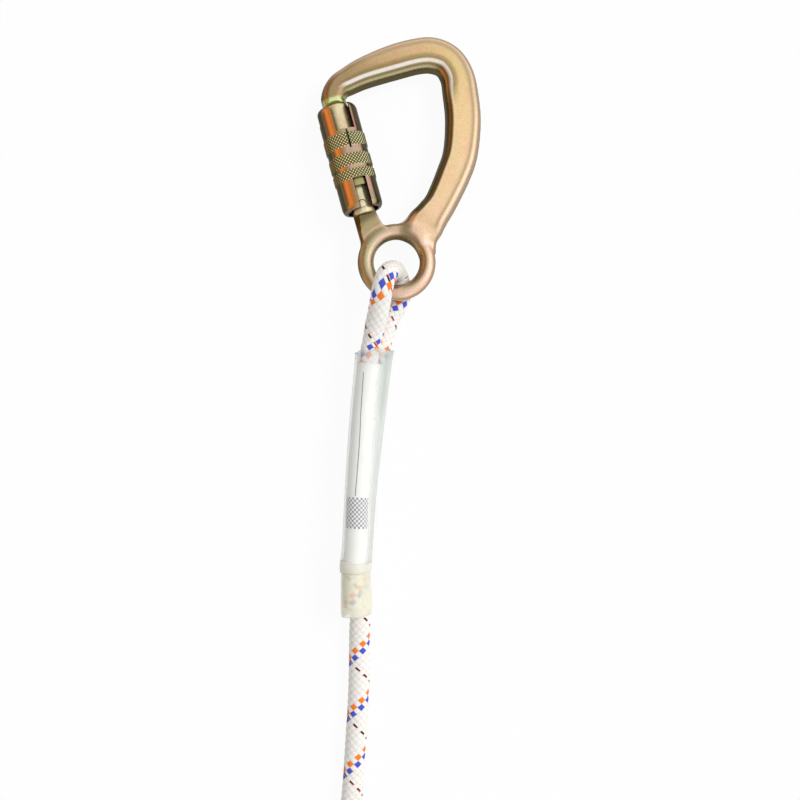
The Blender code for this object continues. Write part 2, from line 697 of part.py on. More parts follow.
def wrap(name, limits, offset, wall, finish, parent, flare=0.0, flare_length=1.0):
    """A tube round both legs: a stadium section carried down the termination, with its own wall."""
    start, stop = limits
    count = max(4, round(abs(stop - start) / WRAP_STEP))
    ys = np.linspace(start, stop, count + 1)
    if flare:
        ys = np.sort(np.append(ys, [start - flare_length / 3, start - flare_length]))[::-1]
    bm = bmesh.new()
    rings = []
    for y in ys:
        middle, reach = pair_at(y)
        heading = pair_at(y - OVERRUN)[0] - pair_at(y + OVERRUN)[0]
        heading[2] = 0.0
        normal = np.cross(reach, heading)
        normal /= np.linalg.norm(normal)
        extra = flare * max(0.0, 1 - (start - y) / flare_length) if flare else 0.0
        for radius in (ROPE_TUBE_R + offset + extra, ROPE_TUBE_R + offset + extra + wall):
            loop = []
            for side in (1, -1):
                for i in range(WRAP_RES + 1):
                    a = math.pi * i / WRAP_RES
                    spot = middle + reach * side * (PAIR_PITCH / 2 + radius * math.sin(a))
                    loop.append(bm.verts.new(spot + normal * side * radius * math.cos(a)))
            rings.append(loop)
    inner, outer = rings[0::2], rings[1::2]
    total = len(inner[0])
    for shell in (inner, outer):
        for one, two in zip(shell[:-1], shell[1:]):
            for i in range(total):
                j = (i + 1) % total
                bm.faces.new((one[i], one[j], two[j], two[i]))
    for end in (0, -1):
        for i in range(total):
            j = (i + 1) % total
            bm.faces.new((inner[end][i], inner[end][j], outer[end][j], outer[end][i]))
    return add(name, mesh_from(bm, name), finish, parent)


def seam(name, side, parent):
    """A row of sewing in the valley between the two legs, on one side of them."""
    ys = np.linspace(*SEAM_Y, 15)
    bm = bmesh.new()
    loops = []
    for y in ys:
        middle, across = pair_at(y)
        normal = np.array([across[2], 0.0, -across[0]]) * side
        section = (
            (SEAM_INNER, -SEAM_ROOT_HALF_W), (SEAM_OUTER, -SEAM_HALF_W),
            (SEAM_OUTER, SEAM_HALF_W), (SEAM_INNER, SEAM_ROOT_HALF_W),
        )
        loops.append([bm.verts.new(middle + normal * depth + across * reach) for depth, reach in section])
    for one, two in zip(loops[:-1], loops[1:]):
        for i in range(4):
            j = (i + 1) % 4
            bm.faces.new((one[i], one[j], two[j], two[i]))
    bm.faces.new(loops[0])
    bm.faces.new(loops[-1])
    return add(name, mesh_from(bm, name), "thread_black", parent)


def hank_swing(turn):
    """Steps out from the innermost loop: the spiral winds in and out, and the loose end bends further out."""
    if turn < 0:
        return HANK_LAYER_LOOPS - turn
    if turn > HANK_LOOPS:
        return HANK_LAYER_LOOPS + (turn - HANK_LOOPS) * HANK_END_SPREAD
    return abs(turn % (2 * HANK_LAYER_LOOPS) - HANK_LAYER_LOOPS)


def hank_level(turn):
    """Layers climbed so far: one at each reversal, spread over the half turn about it."""
    level = 0.0
    for i in range(1, round(HANK_LOOPS / HANK_LAYER_LOOPS)):
        part = min(1.0, max(0.0, (turn - i * HANK_LAYER_LOOPS) * 2 + 0.5))
        level += part * part * (3 - 2 * part)
    return level


def hank_place(turn):
    """A point of the hank: down the left run, round the foot, up the right run and round the top."""
    rho = HANK_FOLD_R + HANK_STEP * hank_swing(turn)
    fold = math.pi * (HANK_FOLD_R + HANK_STEP * HANK_LAYER_LOOPS / 2)
    lap = 2 * (HANK_RUN + fold)
    spot = (turn % 1.0) * lap + HANK_RUN / 2
    half, spot = divmod(spot, HANK_RUN + fold)
    half = half % 2
    side = -1.0 if half == 0 else 1.0
    lift = 0.0
    if spot < HANK_RUN:
        waist = math.sin(math.pi * spot / HANK_RUN) ** 2
        x = side * (rho - HANK_WAIST * waist)
        y = -spot if half == 0 else spot - HANK_RUN
        lift = HANK_LIFT * waist
    else:
        angle = math.pi * (spot - HANK_RUN) / fold
        x = side * rho * math.cos(angle)
        y = (-HANK_RUN - rho * math.sin(angle)) if half == 0 else rho * math.sin(angle)
    return np.array([HANK_X + x, HANK_TOP_Y + y, RUN_Z + HANK_LAYER * hank_level(turn) + lift])


def hank_points():
    """Points at the same places of every loop, from the top of the first run to the end past the tie."""
    fold = math.pi * (HANK_FOLD_R + HANK_STEP * HANK_LAYER_LOOPS / 2)
    half = HANK_RUN + fold
    spots = [HANK_RUN * i / HANK_RUN_POINTS for i in range(HANK_RUN_POINTS)]
    spots += [HANK_RUN + fold * i / HANK_FOLD_POINTS for i in range(HANK_FOLD_POINTS)]
    phases = [(spot + side * half - HANK_RUN / 2) / (2 * half) for side in (0, 1) for spot in spots]
    turns = [loop + phase for loop in range(HANK_LOOPS + 1) for phase in phases]
    turns = [turn for turn in turns if turn < HANK_END - 0.01] + [HANK_END]
    points = np.array([hank_place(turn) for turn in turns])
    return np.insert(points, 1, points[0] - (0.0, ROPE_D, 0.0), axis=0)


def least_gap(points, diameter):
    """The least distance between stretches of a cord that aren't neighbours, less its diameter."""
    fine = np.vstack([points[:-1] + (points[1:] - points[:-1]) * t for t in (0, 0.25, 0.5, 0.75)])
    order = np.concatenate([np.arange(len(points) - 1) + t for t in (0, 0.25, 0.5, 0.75)])
    step = float(np.median(np.linalg.norm(np.diff(points, axis=0), axis=1)))
    apart = np.linalg.norm(fine[:, None] - fine[None], axis=2)
    far = np.abs(order[:, None] - order[None]) * step > 4 * diameter
    return float(apart[far].min() - diameter)


def tie(name, points, finish, parent):
    """A strap round the hank's waist: a rounded oblong ring with a flat wall."""
    middle_y = HANK_TOP_Y - HANK_RUN / 2
    fine = np.vstack([points[:-1] + (points[1:] - points[:-1]) * i / 16 for i in range(16)])
    near = fine[np.abs(fine[:, 1] - middle_y) < TIE_WIDTH / 2 + ROPE_R / 2]
    edge = ROPE_R + TIE_GAP
    left, right = near[:, 0].min() - edge, near[:, 0].max() + edge
    low, high = TIE_WALL, near[:, 2].max() + edge
    bm = bmesh.new()
    rims = []
    for y in (middle_y + TIE_WIDTH / 2, middle_y - TIE_WIDTH / 2):
        for wall in (0.0, TIE_WALL):
            corner = TIE_CORNER + wall
            loop = []
            for cx, cz, first in (
                (right - TIE_CORNER, high - TIE_CORNER, 0), (left + TIE_CORNER, high - TIE_CORNER, 90),
                (left + TIE_CORNER, low + TIE_CORNER, 180), (right - TIE_CORNER, low + TIE_CORNER, 270),
            ):
                for turn in range(0, 91, 18):
                    a = math.radians(first + turn)
                    loop.append(bm.verts.new((cx + corner * math.cos(a), y, cz + corner * math.sin(a))))
            rims.append(loop)
    total = len(rims[0])
    for one, two in ((0, 2), (1, 3), (0, 1), (2, 3)):
        for i in range(total):
            j = (i + 1) % total
            bm.faces.new((rims[one][i], rims[one][j], rims[two][j], rims[two][i]))
    return add(name, mesh_from(bm, name), finish, parent)


def make_termination(place):
    eye = eye_points()
    inside = np.clip((SQUEEZE_FROM_Y - eye[:, 1]) / SQUEEZE_LENGTH, 0.0, 1.0)
    swell = 1.0 + (ROPE_TUBE_R / ROPE_R - 1.0) * inside
    cord("rope_eye", eye, ROPE_R, ROPE_SIDES_RES, "rope_white", place, swell)
    wrap("identity_label", LABEL_Y, GAP, LABEL_WALL, "label_white", place)
    over_label = GAP + LABEL_WALL + GAP
    wrap(
        "clear_tube", CLEAR_TUBE_Y, over_label, CLEAR_TUBE_WALL, "clear_shrink", place,
        CLEAR_TUBE_FLARE, CLEAR_TUBE_FLARE_LENGTH,
    )
    wrap("lower_tube", LOWER_TUBE_Y, GAP, LOWER_TUBE_WALL, "cream_shrink", place)
    seam("seam_front", -1, place)
    seam("seam_back", 1, place)
    return eye


def make_free_rope(place, eye):
    drop = np.interp([-p[1] for p in RUN_POINTS], [0.1845, 0.2235], [RUN_START_Z, RUN_Z])
    route = [(x, y, z) for (x, y), z in zip(RUN_POINTS, drop)]
    loops = hank_points()
    end = loops[0] + np.array([0.0, GAP, 0.0])
    lead = end + np.array([0.0, ROPE_D, 0.0])
    run = np.vstack([smooth_path(route[:-1] + [lead], RUN_STEP), [end]])
    cord("rope_run", run, ROPE_R, ROPE_SIDES_RES, "rope_white", place)
    cord("rope_hank", loops, ROPE_R, 1, "rope_white", place)
    tie("hank_tie", loops, "strap_black", place)
    heading = loops[-1] - loops[-2]
    heading /= np.linalg.norm(heading)
    tip = loops[-1] + heading * GAP
    outer = ROPE_R + END_SLEEVE_WALL
    profile = [
        (0.0, 0.0), (outer, 0.0), (outer, END_SLEEVE_LENGTH - END_SLEEVE_EDGE),
        (outer - END_SLEEVE_EDGE, END_SLEEVE_LENGTH), (0.0, END_SLEEVE_LENGTH),
    ]
    data = turned("end_sleeve", profile, 16)
    turn = Vector(heading).to_track_quat("Y", "Z").to_matrix().to_4x4()
    data.transform(Matrix.Translation(tip) @ turn)
    add("end_sleeve", data, "black_shrink", place)
    free = length_of(run) + length_of(loops)
    finished = free + float(np.linalg.norm(eye[-1] - np.array(EYE_TURN[5])))
    print("least gap of the hank to itself, mm:", round(least_gap(loops, ROPE_D) * 1000, 2))
    print("free rope, m:", round(free, 3), "eye, m:", round(length_of(eye), 3))
    print("finished length, m:", round(finished, 3), "wanted:", ROPE_FINISHED_LENGTH)


def main():
    clear_scene()
    place = empty("termination_frame", (RING_X, RING_Y, 0.0), (0, 0, 0))
    frame = empty("carabiner_frame", (RING_X, RING_Y, RING_Z), (-PITCH, ROLL, 0))
    gate = empty("gate_frame", (HINGE_X, HINGE_Y, 0), (0, 0, GATE_LEAN), frame)
    make_body(frame, gate)
    make_gate(gate)
    make_plunger(gate)
    make_sleeve(gate)
    eye = make_termination(place)
    make_free_rope(place, eye)


main()
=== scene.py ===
"""Looks of the rope with its sewn eye and auto-locking carabiner, laid out as an add-on.

Every piece is a surface worked out with numpy in the row frame, in metres, and rides on a body of the
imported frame. Each operator builds one group of pieces, and main() calls them in turn.
"""

import math

import bpy
import numpy as np
from bpy.props import FloatProperty, FloatVectorProperty, PointerProperty
from mathutils import Euler, Matrix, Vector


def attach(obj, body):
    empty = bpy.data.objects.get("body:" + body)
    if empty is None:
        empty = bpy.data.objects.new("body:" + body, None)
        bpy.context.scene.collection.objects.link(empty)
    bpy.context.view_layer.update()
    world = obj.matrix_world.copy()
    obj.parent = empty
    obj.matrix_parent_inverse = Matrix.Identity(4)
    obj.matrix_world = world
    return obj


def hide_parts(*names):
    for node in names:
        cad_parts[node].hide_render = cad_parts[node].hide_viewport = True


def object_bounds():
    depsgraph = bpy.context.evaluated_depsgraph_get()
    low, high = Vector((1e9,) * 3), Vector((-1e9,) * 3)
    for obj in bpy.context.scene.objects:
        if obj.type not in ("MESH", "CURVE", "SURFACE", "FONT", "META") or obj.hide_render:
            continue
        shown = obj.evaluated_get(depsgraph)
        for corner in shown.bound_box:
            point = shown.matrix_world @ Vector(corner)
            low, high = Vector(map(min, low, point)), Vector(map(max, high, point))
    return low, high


bl_info = {
    "name": "Rope and Carabiner",
    "version": (1, 0, 0),
    "blender": (4, 5, 0),
    "location": "3D View > Sidebar > Rope",
    "description": "Builds a braided rope with a sewn eye, a forged carabiner and its lock",
    "category": "Object",
}

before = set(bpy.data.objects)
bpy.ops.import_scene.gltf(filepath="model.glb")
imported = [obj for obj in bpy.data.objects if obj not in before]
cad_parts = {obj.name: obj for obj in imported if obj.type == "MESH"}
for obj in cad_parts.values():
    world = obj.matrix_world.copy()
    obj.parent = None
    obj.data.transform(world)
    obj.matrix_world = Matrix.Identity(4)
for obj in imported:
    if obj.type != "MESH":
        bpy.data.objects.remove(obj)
FRAME_BOX = [list(corner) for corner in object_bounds()]
LONGEST = max(high - low for low, high in zip(*FRAME_BOX))

MM = 0.001
SPLINE_STEPS = 24
FAR = 1e9
TINY = 1e-12
WHITE = (1.0, 1.0, 1.0)

# Frames: the ring's centre, the pitch and roll of the carabiner's plane, the hinge and the gate's lean
RING = (-0.00135, 0.0316, 0.0152)
PITCH = math.radians(3.78)
ROLL = math.radians(2.16)
HINGE = (-18.0, 29.8)
GATE_LEAN = math.radians(15.07)

# Camera, fitted to the photograph
CAMERA_AT = (0.0004, -0.0613, 0.6106)
CAMERA_TILT = math.radians(2.0)
CAMERA_LENS = 51.43
CAMERA_SENSOR = 36.0
CAMERA_NEAR = 0.01

# Stage: the floor's height, how much of it glows where it is seen, and the lamps' turns about X and Y in degrees
FLOOR_Z = -0.0002
FLOOR_GLOW = 0.94
KEY_TURN = (-16, 40)
SHINE_TURN = (-6, 50)

# Forged body, in millimetres in the carabiner's plane: centre line of the bar with half widths
BAR_STATIONS = (
    (-32.4, 83.5, 5.7), (-33.4, 88.2, 5.9), (-30.6, 94.0, 6.4), (-24.8, 97.9, 7.0), (-16.5, 102.3, 7.8),
    (-2.0, 107.9, 8.8), (10.5, 111.5, 8.9), (19.4, 112.1, 9.0), (27.3, 108.7, 8.7), (32.3, 101.0, 8.7),
    (34.2, 91.0, 9.0), (35.4, 76.3, 8.95), (33.9, 59.0, 8.65), (30.0, 47.0, 8.5), (23.4, 32.4, 8.0),
    (18.5, 25.0, 8.6), (14.6, 19.0, 9.6), (13.6, 11.2, 7.8), (16.2, 4.0, 4.0),
)
BAR_HALF_T = 6.6
BAR_NOSE_HALF_T = 6.0
BAR_ROOT_HALF_T = 2.6
# Shares of the way along the bar where its nose ends and where its root starts
NOSE_SHARE, ROOT_SHARE = 0.16, 0.865
BAR_CORNER_R = 4.0
BAR_DRAFT = 0.10
BAR_CROWN = 0.45
PARTING_HEIGHT = 0.28
PARTING_HALF_WIDTH = 0.45
RING_MEAN_R = 16.1
RING_BAR_R = 4.3
RING_OUTER_R = RING_MEAN_R + RING_BAR_R
SHOULDER = 55.6
NOSE_CHAMFER = 1.7
# The nose's key in the gate's frame: left and right side, half thickness and half length
KEY = (-4.4, 2.0, 2.0, 6.5)
KEY_CORNER_R = 0.4
LUG_HALF_T = 3.0
LUG_CORNER_R = 0.8
RIVET_R = 2.2
RIVET_GAP = 0.1
RIVET_PROFILE = (
    (0, -6.25), (1.0, -6.22), (1.7, -6.1), (2.2, -5.8), (2.2, 5.8), (1.7, 6.1), (1.0, 6.22), (0, 6.25),
)

# How finely the body is worked out: the plane that its field is read from, and the net round its surface
PLANE_X = (-44.0, 48.0)
PLANE_Y = (-24.0, 126.0)
PLANE_STEP = 0.25
LINE_STEP = 0.8
ROOT_SOFTENINGS = 60
NET_LOW = (-43.0, -22.5, -8.0)
NET_HIGH = (46.5, 123.5, 8.0)
NET_STEP = 0.45
NET_PULLS = 3
SLOPE_STEP = 0.02

# Direction that the painted flank shade on the metal is measured from: up from the ring and a little down the rope
FLANK_SHADE_AXIS = (0.0, -0.24, 0.97)

# Gate barrel, its collar and its springs, in millimetres along and about its axis
GATE_TOP = SHOULDER - 0.3
GATE_PROFILE = (
    (0, -4.9), (5.0, -4.9), (5.5, -4.7), (5.9, -4.3), (6.1, -3.7), (6.1, 39.4), (7.2, 40.6),
    (7.2, GATE_TOP - 3.0), (6.7, GATE_TOP - 0.9), (6.4, GATE_TOP - 0.3), (5.9, GATE_TOP), (0, GATE_TOP),
)
GATE_REACH = 12.0
FORK_Y = (-8.0, 7.0)
FORK_HALF_T = 3.3
KEY_SLOT_Y = (48.1, 58.0)
KEY_SLOT_X = 2.6
KEY_SLOT_HALF_T = 2.3
RIVET_HOLE_R = 2.22
RIVET_HOLE_REACH = 9
COLLAR_BORE_R = 6.4
COLLAR_R = 9.4
COLLARS = (
    ("collar", "retaining_collar", "gate", 17.2, 19.4),
    ("guide", "guide_ring", "carriage", 33.0, 35.4),
)
SPRING_TURNS = 6
# Springs: name, node, middle's X, radius of the turns and of the wire, lower and upper end, points and sides
SPRINGS = (
    ("coil_spring", "sleeve_spring", 0.0, 7.9, 0.55, 20.2, 32.2, 260, 10),
    ("coil_small", "gate_spring", 2.6, 1.3, 0.3, 14.4, 21.4, 140, 8),
)

# Sleeve, in millimetres along and about the gate's axis
SLEEVE_R = 10.8
SLEEVE_BORE_R = 9.7
SLEEVE_FOOT = -2.6
SLEEVE_TOP = 54.6
BANDS = ((12.7, 18.2), (19.6, 26.6), (30.1, 37.9))
KNURLS_ROUND = 37
KNURL_PITCH = 1.85
KNURL_PROUD = 0.45
LIP_LENGTH = 3.4
WINDOW_ANGLE = math.radians(81.5)
# Windows through the sleeve's wall: name, lower and upper end, half width and turn about the axis
WINDOWS = (
    ("top_window", 39.7, 58.0, 5.1, WINDOW_ANGLE),
    ("foot_window", -5.0, 13.0, 3.5, WINDOW_ANGLE),
    ("slit", 29.2, 41.0, 0.5, math.acos(1.7 / SLEEVE_R)),
)
CUT_FROM, CUT_TO = 6.0, 14.0
BACK_WINDOW = (math.radians(168), math.radians(300), 46.5, 58.0)
# Bushes in the sleeve: name, node, bore's radius, lower and upper end, and the recess in the lower one
BUSH_R = 9.4
BUSHES = (("bush_low", "lower_bush", 6.5, 9.2, 13.5), ("bush_high", "upper_bush", 6.4, 35.8, 39.0))
RECESS = (math.radians(258), math.radians(362), 11.2, 15.0)
WEDGE_POINTS = 16

# The rope's braid: sixteen strands, eight each way, one over one. UV is turns round and leads along.
ROPE_R = 5.5
ROPE_TUBE_R = 5.1
LEAD = 29.4
CARRIERS = 8
CROWN, PIT = 0.64, 0.1
CROWN_HALF_WIDTH = 0.4
MEAN_HEIGHT = 0.72
ROPE_SIDES, HANK_SIDES = 72, 24
HANK_ROWS = 3
ROPE_STEP = 0.42
# Which of the eight strands carry a tracer, and which part of its width the dark yarn takes
ORANGE, BLUE, DARK = 0, 7, 0
DARK_FROM, DARK_TO = 0.52, 0.92
FREE_PHASE = (0.3713, -0.2513)
EYE_PHASE = (0.44625, -0.13375)
EYE_LEADS = ((0.0, 4.5, 5.85, 6.95, 12.9), (0.03, 4.07, 5.2517, 6.4392, 12.19))
# Length of the tail, from its end, whose braid shows turned end for end
TAIL_TURNED = 23.0
TAIL_PHASE = (0.193, -0.1506)

# The eye's route, from the ring's centre in X and Y and from the floor in Z
EYE_TURN = (
    (-12.8, -42.0, 17.3), (-11.2, -34.2, 19.3), (-9.5, -27.4, 22.2), (-8.2, -20.8, 24.7), (-7.2, -14.7, 26.8),
    (-5.0, -8.0, 24.3), (-1.9, -4.7, 16.5), (0.6, -6.8, 9.4), (2.2, -14.0, 5.8), (0.3, -21.0, 5.6),
    (-3.6, -28.0, 5.6), (-6.0, -35.5, 6.5), (-7.8, -42.0, 7.5),
)
# Middle of the two legs in the tubes: X, Y, half their offset in X, lower leg's Z
PAIR_STATIONS = (
    (-11.3, -45.3, 2.5, 7.90), (-14.6, -74.7, 2.2, 7.25), (-16.5, -93.0, 1.7, 7.25), (-18.8, -120.0, 1.2, 7.25),
    (-20.3, -147.0, 0.75, 7.25), (-21.2, -160.0, 1.2, 7.25), (-21.0, -172.0, 1.65, 6.70), (-20.9, -184.2, 1.65, 6.30),
)
PAIR_PITCH = 10.6
# Where the legs are drawn in for the tubes, and over how far
DRAWN_FROM_Y, DRAWN_OVER = -30.0, 12.0
EXIT_Y = -184.2
TAIL_END_Y = EXIT_Y + 5.2
TUBE_HEAD_Y = -49.3
GAP = 0.3
LABEL_Y = (-53.0, -156.8)
LABEL_WALL = 0.35
CLEAR_Y = (-45.3, -160.2)
CLEAR_WALL = 1.2
LOWER_Y = (-160.6, -184.2)
LOWER_WALL = 0.8
SEAM_Y = (-56.0, -150.0)
SEAM_OUT = 4.3
STITCH = 4
STITCH_HALF_WIDTH = 1.1
WRAP_SIDES = 96
LABEL_SIDES = 192
LABEL_ROWS, LABEL_COLUMNS = 150, 60
LABEL_BACK, LABEL_FRONT = 44, 112
# Where the label ends on its right side: distance down the rope, and places round it
LABEL_ENDS = ((53.0, 62.0, 83.0, 109.0), (95.9, 96.0, 98.5, 110.0))
# Print on the label, in millimetres round from the upper leg's crown and down from the top edge
RULE_X, RULE_HALF_WIDTH, RULE_Y = 1.1, 0.28, (5.0, 68.6)
RULE_MIDDLE, RULE_BOW = 30.0, 42.0
CHEQUER_X, CHEQUER_Y, CHEQUER_SQUARES = 0.7, 77.4, 14
PRINT_SCALE = 100

# The free rope on the floor, then its hank of loops in four layers
RUN_POINTS = (
    (-19.25, -184.5), (-19.5, -200.0), (-19.9, -223.5), (-21.0, -243.7), (-23.2, -276.9), (-25.4, -293.0),
    (-29.2, -309.0), (-33.0, -323.0), (-35.2, -334.0),
)
RUN_START_Z = 6.3
# Distances down the rope between which the run sinks to the floor
RUN_SINKS = (184.5, 223.5)
# How much thinner the run is where it comes out, and over how far
EXIT_THINNER, EXIT_TAPER = 0.35, 8.0
FINE_RUN = 118.0
HANK_X = 16.5
HANK_TOP_Y = -346.0
HANK_RUN = 165.0
HANK_LOOPS = 6
HANK_LAYER_LOOPS = 1.5
HANK_STEP = 12.0
HANK_LAYER = 11.5
HANK_FOLD_R = 33.0
HANK_WAIST = 15.0
HANK_LIFT = 2.1
HANK_END = 6.06
HANK_END_SPREAD = 4.0
HANK_STEPS = 24
TIE_WALL = 1.5
TIE_WIDTH = 22.0
TIE_GAP = 0.5
TIE_CORNER = 6.0
# Rows over the strap's width, each with how much its rim is rounded off
TIE_ROWS = (0, 0.25, 0.8, 3, 6, 9, 11, 13, 16, 19, 21.2, 21.75, 22)
TIE_RIM = (0.3, 0.08, 0, 0, 0, 0, 0, 0, 0, 0, 0, 0.08, 0.3)
# Rows over the width of the strap's free end, each with its thickness
FLAP_ROWS = (10.6, 10.2, 6, 2, -2, -6, -10.2, -10.6)
FLAP_LIFT = (0.7, 0.95, 1.0, 1.0, 1.0, 1.0, 0.95, 0.7)
# How far that end starts from the strap's left side, and reaches past its middle
FLAP_START, FLAP_REACH = 8, 12
END_SLEEVE_LENGTH = 22.0
END_SLEEVE_WALL = 0.7
CORD_STEP = 12


def place_frame():
    """Frame on the floor under the ring's centre."""
    return Matrix.Translation((RING[0], RING[1], 0.0))


def carabiner_frame():
    """Frame at the ring's centre, pitched and rolled as the carabiner lies."""
    return Matrix.Translation(RING) @ Euler((-PITCH, ROLL, 0.0)).to_matrix().to_4x4()


def gate_frame():
    """Frame at the hinge, with Y up the gate's axis: the carabiner's frame moved to the hinge and leant."""
    shift = Matrix.Translation((HINGE[0] * MM, HINGE[1] * MM, 0.0))
    return carabiner_frame() @ shift @ Matrix.Rotation(GATE_LEAN, 4, "Z")


def in_row(points, frame):
    """Points in millimetres in a frame, as metres in the row frame: scaled, turned and moved."""
    m = np.array(frame)
    return points * MM @ m[:3, :3].T + m[:3, 3]


def smooth_path(points, step):
    """Even points on a Catmull-Rom curve through the given points, of any number of columns.

    Each span is the usual cubic of its two ends and their two neighbours, and the line's own ends are carried
    on straight. Fine points on it are then spaced evenly by their distance along it.
    """
    given = np.array(points, float)
    padded = np.vstack([2 * given[0] - given[1], given, 2 * given[-1] - given[-2]])
    t = np.linspace(0, 1, SPLINE_STEPS, endpoint=False)[None, :, None]
    a, b, c, d = (padded[i:len(padded) - 3 + i][:, None] for i in range(4))
    fine = 0.5 * (2 * b + (c - a) * t + (2 * a - 5 * b + 4 * c - d) * t**2 + (3 * b - a - 3 * c + d) * t**3)
    fine = np.vstack([fine.reshape(-1, given.shape[1]), given[-1:]])
    along = arc_length(fine)
    even = np.linspace(0, along[-1], max(2, round(along[-1] / step)) + 1)
    return np.column_stack([np.interp(even, along, fine[:, k]) for k in range(given.shape[1])])


def arc_length(points):
    """Distance along a line of points from its start: the running sum of the gaps between them."""
    return np.concatenate([[0.0], np.cumsum(np.linalg.norm(np.diff(points[:, :3], axis=0), axis=1))])


def smoothstep(x):
    """A smooth rise from 0 to 1 as x goes from 0 to 1: 3 x squared less 2 x cubed."""
    x = np.clip(x, 0.0, 1.0)
    return x * x * (3 - 2 * x)


def mesh_object(name, points, faces, uv=None, smooth=True, values=None):
    """A mesh object from an array of points and an array of quads or triangles, with an optional UV per corner."""
    data = bpy.data.meshes.new(name)
    faces = np.asarray(faces, np.int32)
    corners = faces.shape[1]
    data.vertices.add(len(points))
    data.vertices.foreach_set("co", np.ascontiguousarray(points, np.float32).ravel())
    data.loops.add(faces.size)
    data.loops.foreach_set("vertex_index", faces.ravel())
    data.polygons.add(len(faces))
    data.polygons.foreach_set("loop_start", np.arange(0, faces.size, corners, dtype=np.int32))
    data.polygons.foreach_set("use_smooth", np.full(len(faces), smooth))
    data.update(calc_edges=True)
    if uv is not None:
        layer = data.uv_layers.new(name="UVMap")
        layer.data.foreach_set("uv", np.ascontiguousarray(uv, np.float32).ravel())
    for key, value in (values or {}).items():
        data.attributes.new(key, "FLOAT", "POINT").data.foreach_set("value", np.asarray(value, np.float32))
    item = bpy.data.objects.new(name, data)
    bpy.context.scene.collection.objects.link(item)
    return item


def grid_faces(rows, columns, wrap=True):
    """Quads of a grid of rows by columns, closed round the columns if wrap is set.

    The quad at row r and column c joins (r, c), (r, c + 1), (r + 1, c + 1) and (r + 1, c).
    """
    r = np.arange(rows - 1)[:, None]
    c = np.arange(columns if wrap else columns - 1)[None, :]
    n = (c + 1) % columns
    quads = np.stack([r * columns + c, r * columns + n, (r + 1) * columns + n, (r + 1) * columns + c], axis=-1)
    return quads.reshape(-1, 4)


def two_triangles(quads):
    """Each quad as two triangles, all the first halves and then all the second ones."""
    return [quads[:, [0, 1, 2]], quads[:, [0, 2, 3]]]


def path_frames(path, flat=False):
    """Two sideways directions along a path.

    The side is tangent x X, for paths in the upright plane. For flat paths it is square to the tangent and
    the tangent x Z. The last direction is tangent x side, and along -Y the side is up in both.
    """
    tangent = np.gradient(path, axis=0)
    tangent /= np.linalg.norm(tangent, axis=1, keepdims=True)
    across = np.cross(tangent, (0.0, 0.0, 1.0))
    side = np.cross(across, tangent) if flat else np.cross(tangent, (1.0, 0.0, 0.0))
    side /= np.linalg.norm(side, axis=1, keepdims=True)
    return side, np.cross(tangent, side)


def ring_profile(inner, outer, low, high):
    """Profile of a plain ring: a rectangle between two radii and two heights."""
    return [(inner, low), (outer, low), (outer, high), (inner, high)]


def lathe(name, profile, segments, frame, bump=None, values=None):
    """A surface turned about Y: profile is (radius, y) in millimetres, closed on itself.

    Each point is (r cos a, y, r sin a), and bump(a, r, y) adds to the radius.
    """
    profile = np.array(profile, float)
    angle = np.linspace(0, math.tau, segments, endpoint=False)[None, :]
    radius, y = profile[:, :1], profile[:, 1:2] + 0 * angle
    radius = radius + 0 * angle
    extra = values(angle + 0 * radius, radius, y) if values else {}
    if bump is not None:
        radius = radius + bump(angle + 0 * radius, radius, y)
    points = np.stack([radius * np.cos(angle), y, radius * np.sin(angle)], axis=-1)
    rows = len(profile)
    faces = grid_faces(rows + 1, segments) % (rows * segments)
    extra = {key: value.ravel() for key, value in extra.items()}
    return mesh_object(name, in_row(points.reshape(-1, 3), frame), faces[:, ::-1], values=extra)


def disc_capped_lathe(name, profile, segments, frame):
    """A solid turned about Y whose profile runs from the axis to the axis.

    Each point is (r cos a, y, r sin a), and the two ends are closed by fans from the axis.
    """
    profile = np.array(profile, float)
    angle = np.linspace(0, math.tau, segments, endpoint=False)[None, :]
    radius, y = profile[1:-1, :1] + 0 * angle, profile[1:-1, 1:2] + 0 * angle
    points = np.stack([radius * np.cos(angle), y, radius * np.sin(angle)], axis=-1).reshape(-1, 3)
    ends = np.array([[0.0, profile[0, 1], 0.0], [0.0, profile[-1, 1], 0.0]])
    rows = len(profile) - 2
    quads = grid_faces(rows, segments)[:, ::-1]
    count = rows * segments
    c = np.arange(segments)
    low = np.stack([np.full(segments, count), (c + 1) % segments, c], axis=-1)
    last = (rows - 1) * segments
    high = np.stack([np.full(segments, count + 1), last + c, last + (c + 1) % segments], axis=-1)
    triangles = np.concatenate(two_triangles(quads) + [low[:, ::-1], high[:, ::-1]])
    return mesh_object(name, in_row(np.vstack([points, ends]), frame), triangles)


def box_cutter(name, low, high, frame, turn=0.0):
    """A box between two corners in millimetres, turned about Y, as a hidden cutter."""
    corners = np.array([[x, y, z] for x in (low[0], high[0]) for y in (low[1], high[1]) for z in (low[2], high[2])])
    c, s = math.cos(turn), math.sin(turn)
    corners = np.column_stack([
        corners[:, 0] * c - corners[:, 2] * s, corners[:, 1], corners[:, 0] * s + corners[:, 2] * c,
    ])
    faces = [(0, 1, 3, 2), (4, 6, 7, 5), (0, 4, 5, 1), (2, 3, 7, 6), (0, 2, 6, 4), (1, 5, 7, 3)]
    return mesh_object(name, in_row(corners, frame), faces, smooth=False)


def cut(item, cutters):
    """Cut other solids out of an item, and drop them."""
    for tool in cutters:
        step = item.modifiers.new(tool.name, "BOOLEAN")
        step.operation = "DIFFERENCE"
        step.solver = "EXACT"
        step.object = tool
    bpy.context.view_layer.update()
    graph = bpy.context.evaluated_depsgraph_get()
    data = bpy.data.meshes.new_from_object(item.evaluated_get(graph))
    item.modifiers.clear()
    item.data = data
    for tool in cutters:
        bpy.data.objects.remove(tool, do_unlink=True)


